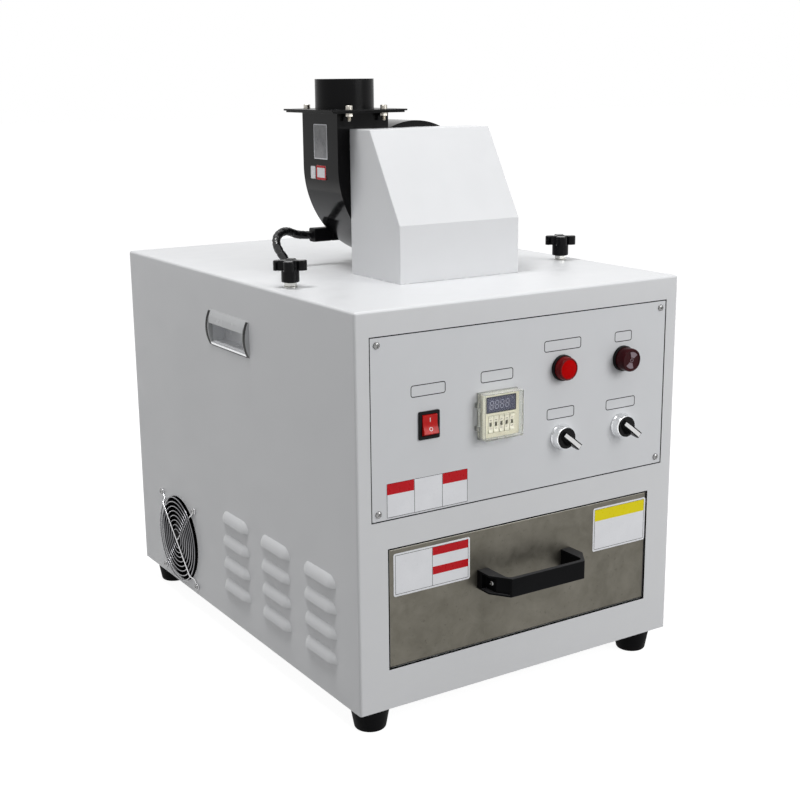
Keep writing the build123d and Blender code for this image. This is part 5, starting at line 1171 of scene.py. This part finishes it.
# The blower's bare rating plate and two small blank stickers on the scroll's left band
stickers = {
    "blowerPlate": {"box": (259.5, 291.5, 603.5, 644.3), "film": vinylSilver, "rim": vinylWhite, "line": 1.1},
    "smallSticker": {"box": (289.6, 300.8, 579.6, 594.5), "film": vinylWhite, "rim": None},
    "squareSticker": {"box": (263.9, 287.6, 579.2, 596.0), "film": vinylWhite, "rim": vinylRed, "line": 2.6},
}
stickerFace = {"x": -99.5, "thick": 0.15, "corner": 1.2}


def sideSticker(name, size):
    near, far, low, high = size["box"]
    x, thick, corner = stickerFace.values()
    middle = (x, (near + far) / 2, (low + high) / 2)
    film = stood(plateShape(far - near, high - low, thick, corner), middle, towardsLeft)
    besideNode(film, name, "blower_scroll", size["film"], rounding=0.04)
    if size["rim"]:
        rim = borderShape(far - near - 0.1, high - low - 0.1, size["line"], 0.05, corner)
        lifted = stood(rim, (x - thick, *middle[1:]), towardsLeft)
        besideNode(lifted, name + "Rim", "blower_scroll", size["rim"])


for stickerName, stickerSize in stickers.items():
    sideSticker(stickerName, stickerSize)
print("plates and frames printed")

# The grips' black cheek strips and bright lower lips, with a black strip of painted shade under the lips, following the
# bulge
grip = {
    "place": (220.0, 293.5, 404.0), "width": 109.0, "height": 44.0, "bulge": 5.5, "cheek": 5.8, "edge": 0.3,
    "skin": 0.16, "cheekEnds": (-27.0, 26.0), "lipEnds": (-26.3, -22.3), "lipInset": 6.6, "shadeLineEnds": (-28.2, -26.5),
}


def gripStrip(side, start, end, low, high):
    # a flat bar carried round the bulge's arc, from one angle to another
    face, y, z = grip["place"]
    bulge = grip["bulge"]
    radius = ((grip["height"] / 2) ** 2 + bulge ** 2) / (2 * bulge)
    inner, outer = radius - 0.3, radius + grip["skin"]
    strip = bmesh.new()
    verts = [strip.verts.new((out, y, 0)) for out, y in ((inner, start), (inner, end), (outer, end), (outer, start))]
    edges = [strip.edges.new(pair) for pair in zip(verts, verts[1:] + verts[:1])]
    bmesh.ops.rotate(strip, cent=(0, 0, 0), matrix=Matrix.Rotation(-math.radians(low), 3, "Y"), verts=verts)
    bmesh.ops.spin(
        strip, geom=verts + edges, cent=(0, 0, 0), axis=(0, 1, 0), angle=-math.radians(high - low), steps=14,
        use_merge=False
    )
    closeEnds(strip)
    return placed(strip, moved(side * (face + bulge - radius), y, z) @ Matrix.Diagonal((side, 1, 1, 1)))


def gripTrim():
    cheeksAndShadeLines = bmesh.new()
    lips = bmesh.new()
    half, cheek = grip["width"] / 2, grip["cheek"]
    lipEnd = half - grip["lipInset"]
    for side in (-1, 1):
        for start in (-half + grip["edge"], half - grip["edge"] - cheek):
            joinShape(cheeksAndShadeLines, gripStrip(side, start, start + cheek, *grip["cheekEnds"]))
        # a black strip under the lip: painted shade
        joinShape(cheeksAndShadeLines, gripStrip(side, -lipEnd, lipEnd, *grip["shadeLineEnds"]))
        joinShape(lips, gripStrip(side, -lipEnd, lipEnd, *grip["lipEnds"]))
    besideNode(cheeksAndShadeLines, "gripCheeks", "side_grips", switchBlack)
    besideNode(lips, "gripLips", "side_grips", lipMetal)


gripTrim()

# Small weld beads along the hood's foot
weld = {
    "front": 128.0, "rear": 235.0, "half": 83.5, "level": 470.0, "pitch": 26.0, "uneven": 4, "overlap": 0.25,
    "firstFront": 9, "firstSide": 11, "bead": (3.2, 1.7, 1.1), "lengths": (0.7, 1.2),
}


def weldBeads():
    front, half, pitch, uneven, overlap = (weld[key] for key in ("front", "half", "pitch", "uneven", "overlap"))
    random.seed(11)
    places = []
    x = -half + weld["firstFront"]
    while x < half:
        places.append((x, front - overlap, 0))
        x += pitch + random.uniform(-uneven, uneven)
    for side in (-1, 1):
        y = front + weld["firstSide"]
        while y < weld["rear"]:
            places.append((side * (half + overlap), y, 90))
            y += pitch + random.uniform(-uneven, uneven)
    length, width, height = weld["bead"]
    whole = bmesh.new()
    for x, y, turn in places:
        bead = bmesh.new()
        bmesh.ops.create_icosphere(bead, subdivisions=2, radius=1)
        stretch = Matrix.Diagonal((length * random.uniform(*weld["lengths"]), width, height, 1))
        joinShape(whole, bead, moved(x, y, weld["level"]) @ turned(turn) @ stretch)
    besideNode(whole, "hoodWeldBeads", "exhaust_hood", whitePaint, split=math.radians(80))


weldBeads()
print("small parts added")

# Soft lamps round the part, on a pale floor in a pale world
studio = {
    "topSoft": {"place": (0.5, -0.45, 2.7), "aim": (0, 0, 0.3), "size": 1.8, "power": 9},
    "leftSoft": {"place": (-0.75, -0.05, 2.6), "aim": (-0.1, 0, 0.3), "size": 0.7, "power": 31},
    "frontSoft": {"place": (1.5, -2.9, 1.6), "aim": (0, 0, 0.3), "size": 1.8, "power": 57},
    "rimSoft": {"place": (-2.6, 0.9, 1.9), "aim": (0, 0, 0.4), "size": 1.4, "power": 2},
}
surround = {"lighting": 0.35, "seen": 1.0, "floorLight": 0.26, "floorSeen": 0.93, "floorRough": 0.8, "floorReach": 20}

for lampName, lamp in studio.items():
    lampData = bpy.data.lights.new(lampName, "AREA")
    lampData.shape = "SQUARE"
    lampData.size = lamp["size"]
    lampData.energy = lamp["power"]
    lampObject = addObject(lampName, lampData)
    lampObject.location = lamp["place"]
    aim = Vector(lamp["aim"]) - Vector(lamp["place"])
    lampObject.rotation_euler = aim.to_track_quat("-Z", "Y").to_euler()


def rayShare(tree, low, high):
    # high for what the camera, gloss and glass see, low for what lights the object
    path = tree.nodes.new("ShaderNodeLightPath")
    share = path.outputs["Is Camera Ray"]
    for other in ("Is Transmission Ray", "Is Glossy Ray"):
        either = tree.nodes.new("ShaderNodeMath")
        either.operation = "MAXIMUM"
        setInputs(tree, either, {0: share, 1: path.outputs[other]})
        share = either.outputs[0]
    return newNode(tree, "MapRange", "Result", {"Value": share, "To Min": low, "To Max": high})


world = bpy.data.worlds.new("paleWorld")
bpy.context.scene.world = world
world.use_nodes = True
worldTree = world.node_tree
setInputs(worldTree, worldTree.nodes["Background"], {
    "Color": (1, 1, 1, 1), "Strength": rayShare(worldTree, surround["lighting"], surround["seen"]),
})

floorShape = bmesh.new()
bmesh.ops.create_grid(floorShape, x_segments=1, y_segments=1, size=surround["floorReach"])
floorMesh = bpy.data.meshes.new("paleFloor")
floorShape.to_mesh(floorMesh)
floorShape.free()
floorPaint, floorTree = newMaterial("paleFloor")
setShader(floorTree, {
    "Base Color": (surround["floorLight"],) * 3 + (1,), "Roughness": surround["floorRough"],
    "Specular IOR Level": 0.0, "Emission Color": (1, 1, 1, 1),
    "Emission Strength": rayShare(floorTree, 0.0, surround["floorSeen"]),
})
floorMesh.materials.append(floorPaint)
addObject("paleFloor", floorMesh)
bpy.context.scene.view_settings.view_transform = "Standard"
print("lights and floor set")
